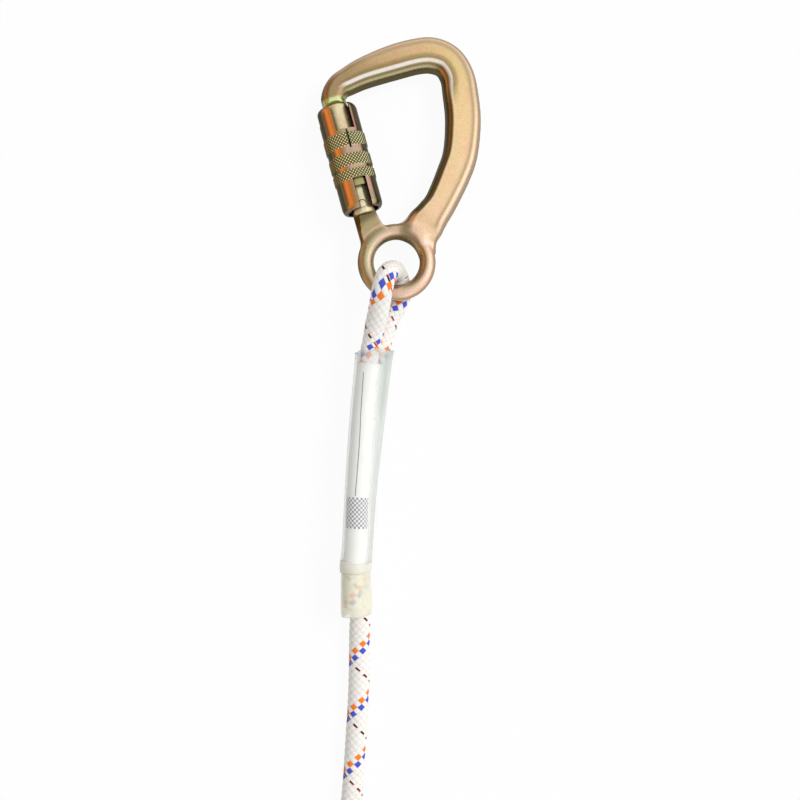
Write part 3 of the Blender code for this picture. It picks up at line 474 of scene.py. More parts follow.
def shade_sharp(item, degrees=40):
    """Smooth shading, with a crisp edge where two faces meet at more than the given angle."""
    item.data.shade_smooth()
    item.data.set_sharp_from_angle(angle=math.radians(degrees))


def smooth_min(a, b, k):
    """Lower of two fields, rounded over k where they meet: a mix of both by share h, less k h (1 - h)."""
    h = np.clip(0.5 + 0.5 * (b - a) / k, 0.0, 1.0)
    return b + (a - b) * h - k * h * (1 - h)


def smooth_max(a, b, k):
    """Higher of two fields, rounded over k: the rounded lower one of their negatives, negated."""
    return -smooth_min(-a, -b, k)


def polygon_distance(x, y, outline):
    """Signed distance in a plane to a closed outline, negative inside.

    It is the least distance to any side of the outline. A point is inside where a line from it to the right
    crosses the outline an odd number of times.
    """
    best = np.full(x.shape, FAR)
    inside = np.zeros(x.shape, bool)
    for (ax, ay), (bx, by) in zip(outline, outline[1:] + outline[:1]):
        ex, ey = bx - ax, by - ay
        t = np.clip(((x - ax) * ex + (y - ay) * ey) / (ex * ex + ey * ey), 0, 1)
        best = np.minimum(best, np.hypot(x - ax - t * ex, y - ay - t * ey))
        crosses = ((ay > y) != (by > y)) & (x < (bx - ax) * (y - ay) / (by - ay + TINY) + ax)
        inside ^= crosses
    return np.where(inside, -best, best)


def lug_outline():
    """The hinge lug in the gate's frame: a foot that fans into the ring, straight sides and a round end."""
    end = [(6.0 * math.cos(a), 6.0 * math.sin(a)) for a in (math.pi * i / 24 for i in range(25))]
    right = [(9.6, -18.0), (8.6, -15.2), (7.7, -12.5), (6.9, -9.6), (6.2, -6.5), (5.9, -3.0)]
    left = [(-6.05, -3.0), (-5.95, -10.0), (-5.9, -16.0), (-5.8, -19.7), (-4.5, -24.0), (-1.5, -22.6), (3.0, -19.6)]
    return right + end + left


def plane_fields():
    """What the body's field needs at each point of its plane, on a grid that the field is read from.

    For the bar: the distance across from the nearest point of the centre line, the half width and the
    half thickness there, the share of the way along and how far past the end a point lies, all averaged with
    their neighbours near the root. For the lug: the distance to its outline. Last come the place along and
    across the gate's frame.
    """
    xs = np.arange(*PLANE_X, PLANE_STEP)
    ys = np.arange(*PLANE_Y, PLANE_STEP)
    x, y = np.meshgrid(xs, ys, indexing="ij")
    line = smooth_path(BAR_STATIONS, LINE_STEP)
    heading = np.gradient(line[:, :2], axis=0)
    heading /= np.linalg.norm(heading, axis=1, keepdims=True)
    flat = np.stack([x.ravel(), y.ravel()], axis=1)
    nearest = np.concatenate([
        np.argmin(((part[:, None] - line[None, :, :2]) ** 2).sum(axis=2), axis=1)
        for part in np.array_split(flat, 40)
    ])
    away = flat - line[nearest, :2]
    forward = (away * heading[nearest]).sum(axis=1)
    across = away[:, 0] * heading[nearest, 1] - away[:, 1] * heading[nearest, 0]
    share = (nearest + forward / LINE_STEP) / (len(line) - 1)
    past = np.where(share > 1, forward, -1.0)
    width = np.interp(share * (len(line) - 1), np.arange(len(line)), line[:, 2])
    thick = BAR_HALF_T + (BAR_NOSE_HALF_T - BAR_HALF_T) * np.clip(1 - share / NOSE_SHARE, 0, 1)
    thick = thick + (BAR_ROOT_HALF_T - BAR_HALF_T) * smoothstep((share - ROOT_SHARE) / 0.125)
    c, s = math.cos(GATE_LEAN), math.sin(GATE_LEAN)
    gx = (x - HINGE[0]) * c + (y - HINGE[1]) * s
    gy = -(x - HINGE[0]) * s + (y - HINGE[1]) * c
    lug = polygon_distance(gx, gy, lug_outline())
    bar = np.stack([v.reshape(x.shape) for v in (across, width, thick, share, past)], axis=-1)
    soft = bar
    for _ in range(ROOT_SOFTENINGS):
        soft = (
            soft + np.roll(soft, 1, 0) + np.roll(soft, -1, 0) + soft + np.roll(soft, 1, 1) + np.roll(soft, -1, 1)
        ) / 6
    near_root = smoothstep((30.0 - y) / 4.0)[..., None]
    bar = bar + (soft - bar) * near_root
    return np.concatenate([bar, np.stack([lug, gx, gy], axis=-1)], axis=-1)


def read_plane(grid, x, y):
    """Bilinear reading of the plane's grid: a mix of its four nearest points by how near each is."""
    u = np.clip((x - PLANE_X[0]) / PLANE_STEP, 0, grid.shape[0] - 1.001)
    v = np.clip((y - PLANE_Y[0]) / PLANE_STEP, 0, grid.shape[1] - 1.001)
    i, j = u.astype(int), v.astype(int)
    u, v = (u - i)[..., None], (v - j)[..., None]
    low = grid[i, j] * (1 - u) + grid[i + 1, j] * u
    high = grid[i, j + 1] * (1 - u) + grid[i + 1, j + 1] * u
    return low * (1 - v) + high * v


def bar_corner(across, share):
    """Corner radius of the bar's section: larger inside the arc, and the share of the outer side."""
    outer = smoothstep(0.5 - across / 3.0)
    return BAR_CORNER_R - 0.4 * outer + 1.0 * (1 - outer) * smoothstep((0.52 - share) / 0.08), outer


def round_corner(past_side, past_face, radius):
    """Signed distance to a section with round corners, from how far a point is past its side and its face.

    Both are drawn in by the radius. The distance is the length of their parts above 0, plus the higher where
    both are below 0, less the radius.
    """
    outside = np.hypot(np.maximum(past_side, 0), np.maximum(past_face, 0))
    return outside + np.minimum(np.maximum(past_side, past_face), 0) - radius


def body_field(grid, p):
    """Signed distance, about, to the forged body, in millimetres.

    The bar is a rectangle with round corners carried along its centre line, with drafted sides, a crowned
    face and a thin parting line. The ring is a round bar, the lug a plate with a bevelled left side, the nose
    is cut square with a chamfer, and they flow into each other by rounded minima. The key is a box on the
    nose, and the rivet's bore is cut last.
    """
    x, y, z = p[..., 0], p[..., 1], p[..., 2]
    across, width, thick, share, past, lug, gx, gy = np.moveaxis(read_plane(grid, x, y), -1, 0)
    depth = np.abs(z)
    corner, outer = bar_corner(across, share)
    corner = np.minimum(corner, 0.8 * thick)
    draft = depth * (BAR_DRAFT + 0.03 * outer)
    flash = PARTING_HEIGHT * np.exp(-((depth / PARTING_HALF_WIDTH) ** 2))
    crown = BAR_CROWN * (across / width) ** 2
    past_side = np.abs(across) - (width - draft * 0.9 + flash - corner + 0.35)
    bar = round_corner(past_side, depth - (thick - crown - corner), corner)
    # the nose: square at the shoulder, with a chamfer at 45 degrees
    nose = share < 0.3
    bar = np.where(nose, smooth_max(bar, SHOULDER - gy, 0.5), bar)
    chamfer = ((SHOULDER + 0.2 - gy) + (depth - (BAR_NOSE_HALF_T - NOSE_CHAMFER))) * 0.7071
    bar = np.where(nose, smooth_max(bar, chamfer, 0.3), bar)
    bar = smooth_max(bar, past - 1.0, 1.5)
    ring_r = np.hypot(x, y)
    ring = np.hypot(ring_r - RING_MEAN_R, z) - RING_BAR_R
    # the lug: a plate whose lower left side is bevelled
    bevel = 0.75 * np.maximum(lug + np.interp(gy, [-15.0, -5.0], [1.4, 3.0]), 0)
    bevel = bevel * smoothstep((-gx - 1.0) / 1.5) * smoothstep((-gy - 3.0) / 3.0)
    past_face = depth - (LUG_HALF_T - LUG_CORNER_R - np.minimum(bevel, 2.0))
    plate = round_corner(lug + LUG_CORNER_R, past_face, LUG_CORNER_R)
    body = smooth_min(bar, ring, 0.8 + 5.2 * smoothstep((0.985 - share) / 0.05))
    body = smooth_min(body, plate, 2.0)
    # the ring's hole stays open: outside it this field falls away, so only its inner side cuts
    hole = ring - 0.25 * np.maximum(ring_r - RING_MEAN_R + 3.0, 0) ** 1.5
    body = smooth_max(body, hole, 1.0)
    left, right, half, length = KEY
    q = [
        np.abs(gx - (left + right) / 2) - (right - left) / 2 + KEY_CORNER_R,
        np.abs(gy - SHOULDER) - length + KEY_CORNER_R,
        depth - half + KEY_CORNER_R,
    ]
    key = np.sqrt(sum(np.maximum(v, 0) ** 2 for v in q)) + np.minimum(np.maximum(np.maximum(q[0], q[1]), q[2]), 0)
    body = smooth_min(body, key - KEY_CORNER_R, 0.5)
    bore = np.hypot(gx, gy) - (RIVET_R + RIVET_GAP)
    return smooth_max(body, -bore, 0.2)


def surface_net(field, low, high, step):
    """Quads round a field's zero: one point in each cell that the surface crosses, at the mean of its crossings.

    Each edge of the lattice that crosses the surface gets a quad between the four cells round it. The points
    are then moved onto the surface along the field's slope, by the field over the slope squared.
    """
    axes = [np.arange(a, b, step) for a, b in zip(low, high)]
    shape = [len(a) for a in axes]
    lattice = np.stack(np.meshgrid(*axes, indexing="ij"), axis=-1)
    value = np.concatenate([field(part) for part in np.array_split(lattice, 24)])
    inside = value < 0
    corner = [(i, j, k) for i in (0, 1) for j in (0, 1) for k in (0, 1)]
    cut_out = [tuple(slice(o, n - 1 + o) for o, n in zip(c, shape)) for c in corner]
    count = sum(inside[c].astype(np.int8) for c in cut_out)
    active = (count > 0) & (count < 8)
    index = np.full(active.shape, -1, np.int64)
    index[active] = np.arange(active.sum())
    cells = np.argwhere(active)
    values = np.stack([value[c][active] for c in cut_out], axis=1)
    total, crossings = np.zeros((len(cells), 3)), np.zeros(len(cells))
    for a in range(8):
        for b in range(a + 1, 8):
            gap = np.subtract(corner[b], corner[a])
            if np.abs(gap).sum() != 1:
                continue
            cross = (values[:, a] < 0) != (values[:, b] < 0)
            t = np.where(cross, values[:, a] / (values[:, a] - values[:, b] + TINY), 0)
            total += (np.array(corner[a]) + t[:, None] * gap) * cross[:, None]
            crossings += cross
    points = np.array([a[0] for a in axes]) + (cells + total / crossings[:, None]) * step
    quads = []
    for axis in range(3):
        one = [slice(1, n - 1) for n in shape]
        two = list(one)
        one[axis] = slice(0, shape[axis] - 1)
        two[axis] = slice(1, shape[axis])
        first, second = inside[tuple(one)], inside[tuple(two)]
        place = np.argwhere(first != second)
        flip = first[tuple(place.T)]
        place = place + np.array([0 if k == axis else 1 for k in range(3)])
        b, c = [k for k in range(3) if k != axis]
        shift = np.zeros((4, 3), int)
        shift[1, b] = shift[2, b] = -1
        shift[2, c] = shift[3, c] = -1
        quad = np.stack([index[tuple((place + s).T)] for s in shift], axis=1)
        if axis == 1:
            flip = ~flip
        quad[flip] = quad[flip][:, ::-1]
        quads.append(quad)
    quads = np.concatenate(quads)
    quads = quads[(quads >= 0).all(axis=1)]
    for _ in range(NET_PULLS):
        slope = field_slope(field, points)
        points = points - slope * (field(points) / (slope**2).sum(axis=1))[:, None]
    edge = points[quads]
    facing = np.cross(edge[:, 1] - edge[:, 0], edge[:, 2] - edge[:, 0])
    if (facing * field_slope(field, edge.mean(axis=1))).sum() < 0:
        quads = quads[:, ::-1]
    return points, quads


def field_slope(field, points):
    """Slope of a field at points: along each axis, its difference over a short step each way by their distance."""
    slope = np.zeros_like(points)
    for k in range(3):
        step = np.zeros(3)
        step[k] = SLOPE_STEP
        slope[:, k] = (field(points + step) - field(points - step)) / (2 * SLOPE_STEP)
    return slope


def new_material(name, colour, roughness=0.5, metallic=0.0):
    """A material with a plain shader, and its node tree and shader."""
    made = bpy.data.materials.new(name)
    made.use_nodes = True
    shader = made.node_tree.nodes["Principled BSDF"]
    shader.inputs["Base Color"].default_value = (*colour, 1.0)
    shader.inputs["Roughness"].default_value = roughness
    shader.inputs["Metallic"].default_value = metallic
    made.diffuse_color = (*colour, 1.0)
    return made, made.node_tree, shader


def srgb(r, g, b):
    """A colour written as 0 to 255, as linear light, by the usual curve of screens."""
    shares = [v / 255 for v in (r, g, b)]
    return tuple(v / 12.92 if v <= 0.04045 else ((v + 0.055) / 1.055) ** 2.4 for v in shares)


class Tree:
    """Short ways to add nodes to a material or world."""

    def __init__(self, tree):
        self.tree = tree

    def add(self, kind, **values):
        """A node of a kind, with its settings."""
        node = self.tree.nodes.new(kind)
        for key, value in values.items():
            setattr(node, key, value)
        return node

    def link(self, value, socket):
        """Plug a socket or a constant into an input."""
        if isinstance(value, bpy.types.NodeSocket):
            self.tree.links.new(value, socket)
        elif isinstance(value, tuple) and socket.type == "RGBA" and len(value) == 3:
            socket.default_value = (*value, 1.0)
        else:
            socket.default_value = value

    def math(self, operation, a, b=0.0, clamp=False):
        """The result of one sum on one or two values."""
        node = self.add("ShaderNodeMath", operation=operation, use_clamp=clamp)
        for value, socket in zip((a, b), node.inputs):
            self.link(value, socket)
        return node.outputs[0]

    def compare(self, a, b):
        """1 where two whole numbers are the same, and 0 elsewhere."""
        node = self.add("ShaderNodeMath", operation="COMPARE")
        for value, socket in zip((a, float(b), 0.5), node.inputs):
            self.link(value, socket)
        return node.outputs[0]

    def times(self, a, b):
        """a times b."""
        return self.math("MULTIPLY", a, b)

    def plus(self, a, b):
        """a plus b."""
        return self.math("ADD", a, b)

    def minus(self, a, b):
        """a less b."""
        return self.math("SUBTRACT", a, b)

    def centred(self, value):
        """How far a share is from its middle, 0 to a half."""
        return self.math("ABSOLUTE", self.minus(value, 0.5))

    def attribute(self, name):
        """A baked share of the piece's own."""
        return self.add("ShaderNodeAttribute", attribute_name=name).outputs["Fac"]

    def mix(self, factor, a, b, blend="MIX"):
        """Two colours mixed by a factor."""
        node = self.add("ShaderNodeMix", data_type="RGBA", blend_type=blend)
        self.link(factor, node.inputs[0])
        self.link(a, node.inputs[6])
        self.link(b, node.inputs[7])
        return node.outputs[2]

    def ramp(self, factor, stops, ease="LINEAR"):
        """A colour ramp from (place, colour) stops."""
        node = self.add("ShaderNodeValToRGB")
        node.color_ramp.interpolation = ease
        items = node.color_ramp.elements
        while len(items) < len(stops):
            items.new(0.5)
        for item, (place, colour) in zip(items, stops):
            item.position = place
            item.color = (*colour, 1.0) if isinstance(colour, tuple) else (colour, colour, colour, 1.0)
        self.link(factor, node.inputs[0])
        return node.outputs[0]

    def noise(self, vector, scale, detail=3.0, roughness=0.5, distortion=0.0):
        """Smooth noise, with so many patches to the metre."""
        node = self.add("ShaderNodeTexNoise")
        self.link(vector, node.inputs["Vector"])
        node.inputs["Scale"].default_value = scale
        node.inputs["Detail"].default_value = detail
        node.inputs["Roughness"].default_value = roughness
        node.inputs["Distortion"].default_value = distortion
        return node.outputs["Fac"]

    def bump(self, height, strength, distance, normal=None):
        """A normal tipped by a height, which is a share of the distance in metres."""
        node = self.add("ShaderNodeBump")
        node.inputs["Strength"].default_value = strength
        node.inputs["Distance"].default_value = distance
        self.link(height, node.inputs["Height"])
        if normal is not None:
            self.link(normal, node.inputs["Normal"])
        return node.outputs[0]


def zinc(
    name, colours, roughness, turned, patches, grain, round_edge=0.0, extras=(), crevice_shade=0.0025, ramp=None,
    metal=1.0,
):
    """Yellow zinc plating: three tints drifting over the metal, with painted shade on its flanks and in its crevices.

    turned lists (aside, tint) stops that paint shade where a surface leans away, and extras lists (attribute, colour)
    pairs laid over the tints, some of them painted shade and painted highlights. ramp is an attribute and its
    (place, colour) stops, which take most of the tints' place. The colour is the drifting tints, then the ramp, then
    each extra by its share, times mottle, specks, painted flank shade and painted shade in crevices.
    """
    material, tree, shader = new_material(name, colours[0], roughness, metal)
    t = Tree(tree)
    place = t.add("ShaderNodeTexCoord").outputs["Object"]
    first = t.noise(place, patches, detail=2.0, distortion=0.6)
    second = t.noise(place, patches * 2.7, roughness=0.6)
    colour = t.ramp(first, [(0.38, colours[0]), (0.50, colours[1]), (0.62, colours[2])])
    colour = t.mix(t.times(second, 0.5), colour, colours[1])
    if ramp:
        colour = t.mix(0.72, colour, t.ramp(t.attribute(ramp[0]), ramp[1]))
    for attribute, tint in extras:
        colour = t.mix(t.attribute(attribute), colour, tint)
    mottle = t.noise(place, 210.0, roughness=0.6)
    tints = t.ramp(mottle, [(0.36, (1.0, 0.93, 0.92)), (0.50, WHITE), (0.64, (0.94, 0.99, 0.87))])
    colour = t.mix(1.0, colour, tints, "MULTIPLY")
    speck = t.noise(place, 1500.0, roughness=0.7)
    specks = t.ramp(speck, [(0.40, 0.0), (0.70, 0.36)])
    colour = t.mix(specks, colour, t.mix(1.0, colour, srgb(190, 180, 170), "MULTIPLY"))
    # painted flank shade: the aside attribute darkens the colour through the turned stops where a surface leans away
    colour = t.mix(1.0, colour, t.ramp(t.attribute("aside"), turned), "MULTIPLY")
    # painted shade in crevices: the colour darkens where the occlusion node finds other surfaces close by
    if crevice_shade:
        hidden = t.add("ShaderNodeAmbientOcclusion", samples=12)
        hidden.inputs["Distance"].default_value = crevice_shade
        colour = t.mix(1.0, colour, t.ramp(hidden.outputs["AO"], [(0.20, 0.10), (0.80, 1.0)]), "MULTIPLY")
    t.link(colour, shader.inputs["Base Color"])
    fine = t.noise(place, 2600.0, detail=2.0, roughness=0.6)
    wear = t.noise(place, 300.0, detail=4.0, roughness=0.65)
    t.link(t.plus(t.times(wear, 0.16), roughness - 0.08), shader.inputs["Roughness"])
    normal = None
    if round_edge:
        bevel = t.add("ShaderNodeBevel", samples=4)
        bevel.inputs["Radius"].default_value = round_edge
        normal = bevel.outputs[0]
    t.link(t.bump(fine, 0.5, grain, normal), shader.inputs["Normal"])
    return material


def braid_nodes(t, uv):
    """braid_height in a shader.

    It gives the strands' counts, which one shows, the places across and along it, and the height.
    """
    parts = t.add("ShaderNodeSeparateXYZ")
    t.link(uv, parts.inputs[0])
    u, v = parts.outputs[0], parts.outputs[1]
    p = t.times(t.plus(u, v), CARRIERS)
    q = t.times(t.minus(u, v), CARRIERS)
    fp, fq = t.math("FLOOR", p), t.math("FLOOR", q)
    even = t.compare(t.math("FLOORED_MODULO", t.plus(fp, fq), 2.0), 0)
    rp, rq = t.minus(p, fp), t.minus(q, fq)
    e_p = t.centred(rp)
    e_q = t.centred(rq)
    d_q = t.plus(t.times(even, t.minus(t.times(e_p, 2.0), 1.0)), t.minus(1.0, e_p))
    d_p = t.plus(t.times(even, t.minus(1.0, t.times(e_q, 2.0))), e_q)
    heights = []
    for d, e in ((d_q, e_q), (d_p, e_p)):
        wave = t.math("COSINE", t.times(d, math.pi))
        ratio = t.math("DIVIDE", e, CROWN_HALF_WIDTH)
        crown = t.minus(1.0, t.times(ratio, ratio))
        heights.append(t.plus(wave, t.times(crown, CROWN)))
    over = t.math("GREATER_THAN", heights[0], heights[1])
    across = t.plus(t.times(over, t.minus(rq, rp)), rp)
    along = t.plus(t.times(over, t.minus(rp, rq)), rq)
    top = t.minus(t.math("MAXIMUM", t.math("MAXIMUM", heights[0], heights[1]), PIT), PIT)
    return fp, fq, over, across, along, t.math("DIVIDE", top, 1 + CROWN - PIT)


def rope_material(looks):
    """White polyester braid with orange and blue strands one way and a black and red yarn the other, shaded along its
    strands' sides.
    """
    made, tree, shader = new_material("rope_white", srgb(244, 240, 234), 0.72)
    t = Tree(tree)
    texture = t.add("ShaderNodeTexCoord")
    uv = texture.outputs["UV"]
    place = texture.outputs["Object"]
    fp, fq, over, across, along, top = braid_nodes(t, uv)
    pick_q = t.math("FLOORED_MODULO", fq, float(CARRIERS))
    pick_p = t.math("FLOORED_MODULO", fp, float(CARRIERS))
    under = t.minus(1.0, over)
    orange = t.times(over, t.compare(pick_q, ORANGE))
    blue = t.times(over, t.compare(pick_q, BLUE))
    dark = t.times(under, t.compare(pick_p, DARK))
    band = t.times(t.math("GREATER_THAN", across, DARK_FROM), t.math("LESS_THAN", across, DARK_TO))
    dark = t.times(dark, band)
    soft = t.noise(place, 420.0, roughness=0.6)
    white = t.mix(soft, srgb(240, 235, 228), tuple(looks.white))
    # painted shade along each strand's sides: a greyer beige towards them, and darker again by the shade ramp below
    side = t.times(t.centred(across), 2.0)
    colour = t.mix(t.ramp(side, [(0.45, 0.0), (1.0, 1.0)], "EASE"), white, srgb(232, 225, 217))
    sway = t.plus(across, t.times(t.minus(along, 0.5), -0.2))
    half_red = t.math("GREATER_THAN", t.plus(sway, t.times(t.noise(place, 75.0), 0.9)), 1.24)
    colour = t.mix(orange, colour, tuple(looks.orange))
    colour = t.mix(blue, colour, tuple(looks.blue))
    colour = t.mix(dark, colour, t.mix(half_red, tuple(looks.dark), tuple(looks.red)))
    shade = t.ramp(side, [(0.6, 1.0), (1.0, 0.93)], "EASE")
    colour = t.mix(1.0, colour, shade, "MULTIPLY")
    t.link(colour, shader.inputs["Base Color"])
    shader.inputs["Sheen Weight"].default_value = 0.12
    shader.inputs["Specular IOR Level"].default_value = 0.25
    yarn = t.math("ABSOLUTE", t.math("SINE", t.times(across, math.pi * 3)))
    relief = t.bump(t.times(top, t.attribute("coarse")), 1.0, looks.relief)
    t.link(t.bump(yarn, 0.2, 0.0001, relief), shader.inputs["Normal"])
    return made


def shrink(name, colour, cover, roughness):
    """Heat-shrink plastic that lets what it holds show through: cover is how much of it is seen, face on."""
    made, tree, shader = new_material(name, colour, roughness)
    t = Tree(tree)
    shader.inputs["Specular IOR Level"].default_value = 0.5
    facing = t.add("ShaderNodeLayerWeight")
    facing.inputs["Blend"].default_value = 0.35
    place = t.add("ShaderNodeTexCoord").outputs["Object"]
    haze = t.noise(place, 90.0, roughness=0.6)
    amount = t.plus(cover - 0.05, t.times(haze, 0.1))
    loose = t.attribute("loose")
    lip = t.attribute("lip")
    amount = t.plus(amount, t.plus(t.times(loose, 0.30), t.times(lip, 0.50)))
    t.link(t.mix(lip, t.mix(loose, colour, srgb(206, 217, 210)), srgb(253, 251, 238)), shader.inputs["Base Color"])
    steep = t.times(t.math("POWER", facing.outputs["Facing"], 2.0), 0.5)
    amount = t.math("ADD", amount, steep, clamp=True)
    t.link(amount, shader.inputs["Alpha"])
    ripple = t.noise(place, 220.0)
    t.link(t.bump(ripple, 0.25, 0.0004), shader.inputs["Normal"])
    return made


def label_material(looks):
    """White label with a thin ruled line down it and a plain chequer near its foot.

    The rule is where x is near a bowed line in y. The chequer is a square in which the whole parts of x and y,
    counted in squares, add up to an odd number.
    """
    made, tree, shader = new_material("label_white", tuple(looks.paper), 0.55)
    t = Tree(tree)
    uv = t.add("ShaderNodeTexCoord").outputs["UV"]
    parts = t.add("ShaderNodeSeparateXYZ")
    t.link(uv, parts.inputs[0])
    x = t.times(parts.outputs[0], PRINT_SCALE)
    y = t.times(parts.outputs[1], PRINT_SCALE)
    half = looks.chequer / MM / 2
    square = looks.chequer / MM / CHEQUER_SQUARES
    bow = t.math("POWER", t.math("DIVIDE", t.minus(y, RULE_MIDDLE), RULE_BOW), 2.0)
    drift = t.plus(RULE_X, t.times(bow, -RULE_X))
    off = t.math("ABSOLUTE", t.minus(x, drift))
    line = t.times(t.math("LESS_THAN", off, RULE_HALF_WIDTH), t.math("LESS_THAN", y, RULE_Y[1]))
    line = t.times(line, t.math("GREATER_THAN", y, RULE_Y[0]))
    inside = t.times(
        t.math("LESS_THAN", t.math("ABSOLUTE", t.minus(y, CHEQUER_Y)), half),
        t.math("LESS_THAN", t.math("ABSOLUTE", t.minus(x, CHEQUER_X)), half),
    )
    cx = t.math("FLOOR", t.math("DIVIDE", t.minus(x, CHEQUER_X - half), square))
    cy = t.math("FLOOR", t.math("DIVIDE", t.minus(y, CHEQUER_Y - half), square))
    chequer = t.math("FLOORED_MODULO", t.plus(cx, cy), 2.0)
    mark = t.math("MAXIMUM", line, t.times(inside, chequer))
    t.link(t.mix(t.times(mark, 0.88), tuple(looks.paper), tuple(looks.ink)), shader.inputs["Base Color"])
    return made


def cloth(name, colour, roughness):
    """Woven black webbing or thread: fine diagonal ribs in the surface."""
    made, tree, shader = new_material(name, colour, roughness)
    t = Tree(tree)
    place = t.add("ShaderNodeTexCoord").outputs["Object"]
    weave = t.add("ShaderNodeTexWave", wave_type="BANDS", bands_direction="DIAGONAL")
    t.link(place, weave.inputs["Vector"])
    weave.inputs["Scale"].default_value = 260.0
    weave.inputs["Distortion"].default_value = 1.5
    t.link(t.bump(weave.outputs["Fac"], 0.5, 0.0002), shader.inputs["Normal"])
    shader.inputs["Sheen Weight"].default_value = 0.3
    return made


def plastic(name, colour, roughness):
    """Plain shrink plastic with a faint uneven surface."""
    made, tree, shader = new_material(name, colour, roughness)
    t = Tree(tree)
    place = t.add("ShaderNodeTexCoord").outputs["Object"]
    t.link(t.bump(t.noise(place, 500.0), 0.2, 0.0001), shader.inputs["Normal"])
    return made


MATERIALS = {}


def material(name):
    """The finish of a name, which is made once, from the looks that the scene holds."""
    if name in MATERIALS and MATERIALS[name].name in bpy.data.materials:
        return MATERIALS[name]
    scene = bpy.context.scene
    metal, rope, wraps, strap = scene.metal_looks, scene.rope_looks, scene.wrap_looks, scene.strap_looks
    makers = {
        "body": lambda: zinc(
            "zinc_gold_body", (srgb(232, 212, 156), tuple(metal.body), srgb(255, 206, 176)), metal.roughness,
            # painted flank shade: these stops darken the plating where its surface leans away from the shade axis
            [(0.0, WHITE), (0.60, (0.92, 0.90, 0.86)), (0.78, (0.60, 0.56, 0.50)), (0.90, (0.14, 0.13, 0.11)),
             (1.0, (0.46, 0.42, 0.34))],
            patches=34.0, grain=0.00005, crevice_shade=0.0, extras=(
                # painted highlights: the outer corner's bright line, the bright inner bevel, and the nose's chamfer
                # with a green tint
                # painted shade: the line by the outer corner, the arc's face by its inner edge, the ring's left and
                # bore, walls, left sides
                ("rim", srgb(240, 208, 178)), ("edge", srgb(184, 160, 124)), ("outer", srgb(255, 228, 204)),
                ("inner_face_shade", srgb(150, 130, 88)), ("ring", srgb(255, 216, 196)), ("ring_left_shade", srgb(186, 168, 138)),
                ("moss", srgb(196, 194, 158)), ("hole", srgb(116, 102, 68)),
                ("lug", srgb(186, 170, 130)), ("bevel_highlight", srgb(255, 250, 246)), ("wall", srgb(124, 116, 86)),
                ("glint", srgb(212, 200, 156)), ("left", srgb(84, 62, 40)), ("nose", srgb(226, 240, 178)),
            ), ramp=("along", (
                (0.0, srgb(134, 104, 84)), (0.10, srgb(152, 124, 96)), (0.22, srgb(196, 168, 122)),
                (0.42, srgb(240, 210, 154)), (0.60, srgb(255, 225, 172)), (0.80, srgb(255, 222, 182)),
                (1.0, srgb(255, 218, 190)),
            )),
        ),
        "gate": lambda: zinc(
            "zinc_gold_gate", (srgb(236, 226, 186), tuple(metal.gate), srgb(230, 212, 170)), metal.roughness + 0.03,
            # painted flank shade by these stops, and painted shade in crevices by the occlusion reach below
            [(0.0, WHITE), (0.35, (0.92, 0.88, 0.78)), (0.60, (0.66, 0.56, 0.38)), (0.85, (0.26, 0.20, 0.12)),
             (1.0, (0.40, 0.34, 0.24))],
            patches=60.0, grain=0.00001, round_edge=0.0002, crevice_shade=0.0008, metal=0.72,
        ),
        "sleeve": lambda: zinc(
            "zinc_olive_sleeve", (srgb(182, 168, 140), tuple(metal.sleeve), srgb(222, 166, 168)),
            metal.roughness - 0.05,
            # painted flank shade by these stops, and painted shade in crevices by the occlusion reach below
            [(0.0, WHITE), (0.30, (0.96, 0.95, 0.90)), (0.50, (0.60, 0.60, 0.48)), (0.75, (0.16, 0.18, 0.11)),
             (0.90, (0.16, 0.18, 0.11)), (1.0, (0.40, 0.40, 0.28))],
            patches=75.0, grain=0.00001, round_edge=0.00014, crevice_shade=0.0012, extras=(
                # the orange side is partly plating tint and partly painted reflection; right flank, grooves and shaded
                # side are painted shade
                ("warm", srgb(255, 196, 120)), ("cool", srgb(118, 122, 104)), ("band", srgb(255, 255, 205)),
                ("groove", srgb(98, 88, 54)), ("shade", srgb(104, 100, 68)),
            ),
        ),
        # bush and steel: their stops paint flank shade, and the default occlusion reach paints shade in crevices
        "bush": lambda: zinc(
            "zinc_olive_bush", (srgb(184, 184, 126), srgb(192, 188, 132), srgb(172, 168, 112)), 0.4,
            [(0.0, WHITE), (0.6, (0.3, 0.3, 0.2))], patches=90.0, grain=0.00001,
        ),
        "steel": lambda: zinc(
            "plain_steel", (srgb(190, 188, 178), srgb(204, 202, 192), srgb(182, 178, 166)), 0.3,
            [(0.0, WHITE), (0.6, (0.3, 0.3, 0.28))], patches=90.0, grain=0.00001, round_edge=0.00015,
        ),
        "rope": lambda: rope_material(rope),
        "clear": lambda: shrink("clear_shrink", srgb(250, 252, 250), wraps.clear_cover, 0.25),
        "cream": lambda: shrink("cream_shrink", tuple(wraps.cream), wraps.cream_cover, 0.35),
        "label": lambda: label_material(wraps),
        "thread": lambda: cloth("thread_black", tuple(wraps.thread), 0.8),
        "strap": lambda: cloth("strap_black", tuple(strap.webbing), 0.9),
        "black": lambda: plastic("black_shrink", tuple(strap.end_cover), 0.4),
    }
    MATERIALS[name] = makers[name]()
    return MATERIALS[name]


def store_flank_shade(item):
    """Painted flank shade: how far each corner leans away, 1 less the size of its normal's share along the shade axis.
    """
    normals = np.empty(3 * len(item.data.loops), np.float32)
    item.data.corner_normals.foreach_get("vector", normals)
    aside = 1 - np.abs(normals.reshape(-1, 3) @ np.array(FLANK_SHADE_AXIS, np.float32))
    item.data.attributes.new("aside", "FLOAT", "CORNER").data.foreach_set("value", aside)


def dress(item, finish, node, body):
    """Give a piece its material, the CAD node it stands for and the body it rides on."""
    if body in ("carabiner", "gate", "plunger", "carriage", "sleeve"):
        store_flank_shade(item)
    item.data.materials.clear()
    item.data.materials.append(finish)
    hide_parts(node)
    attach(item, body)


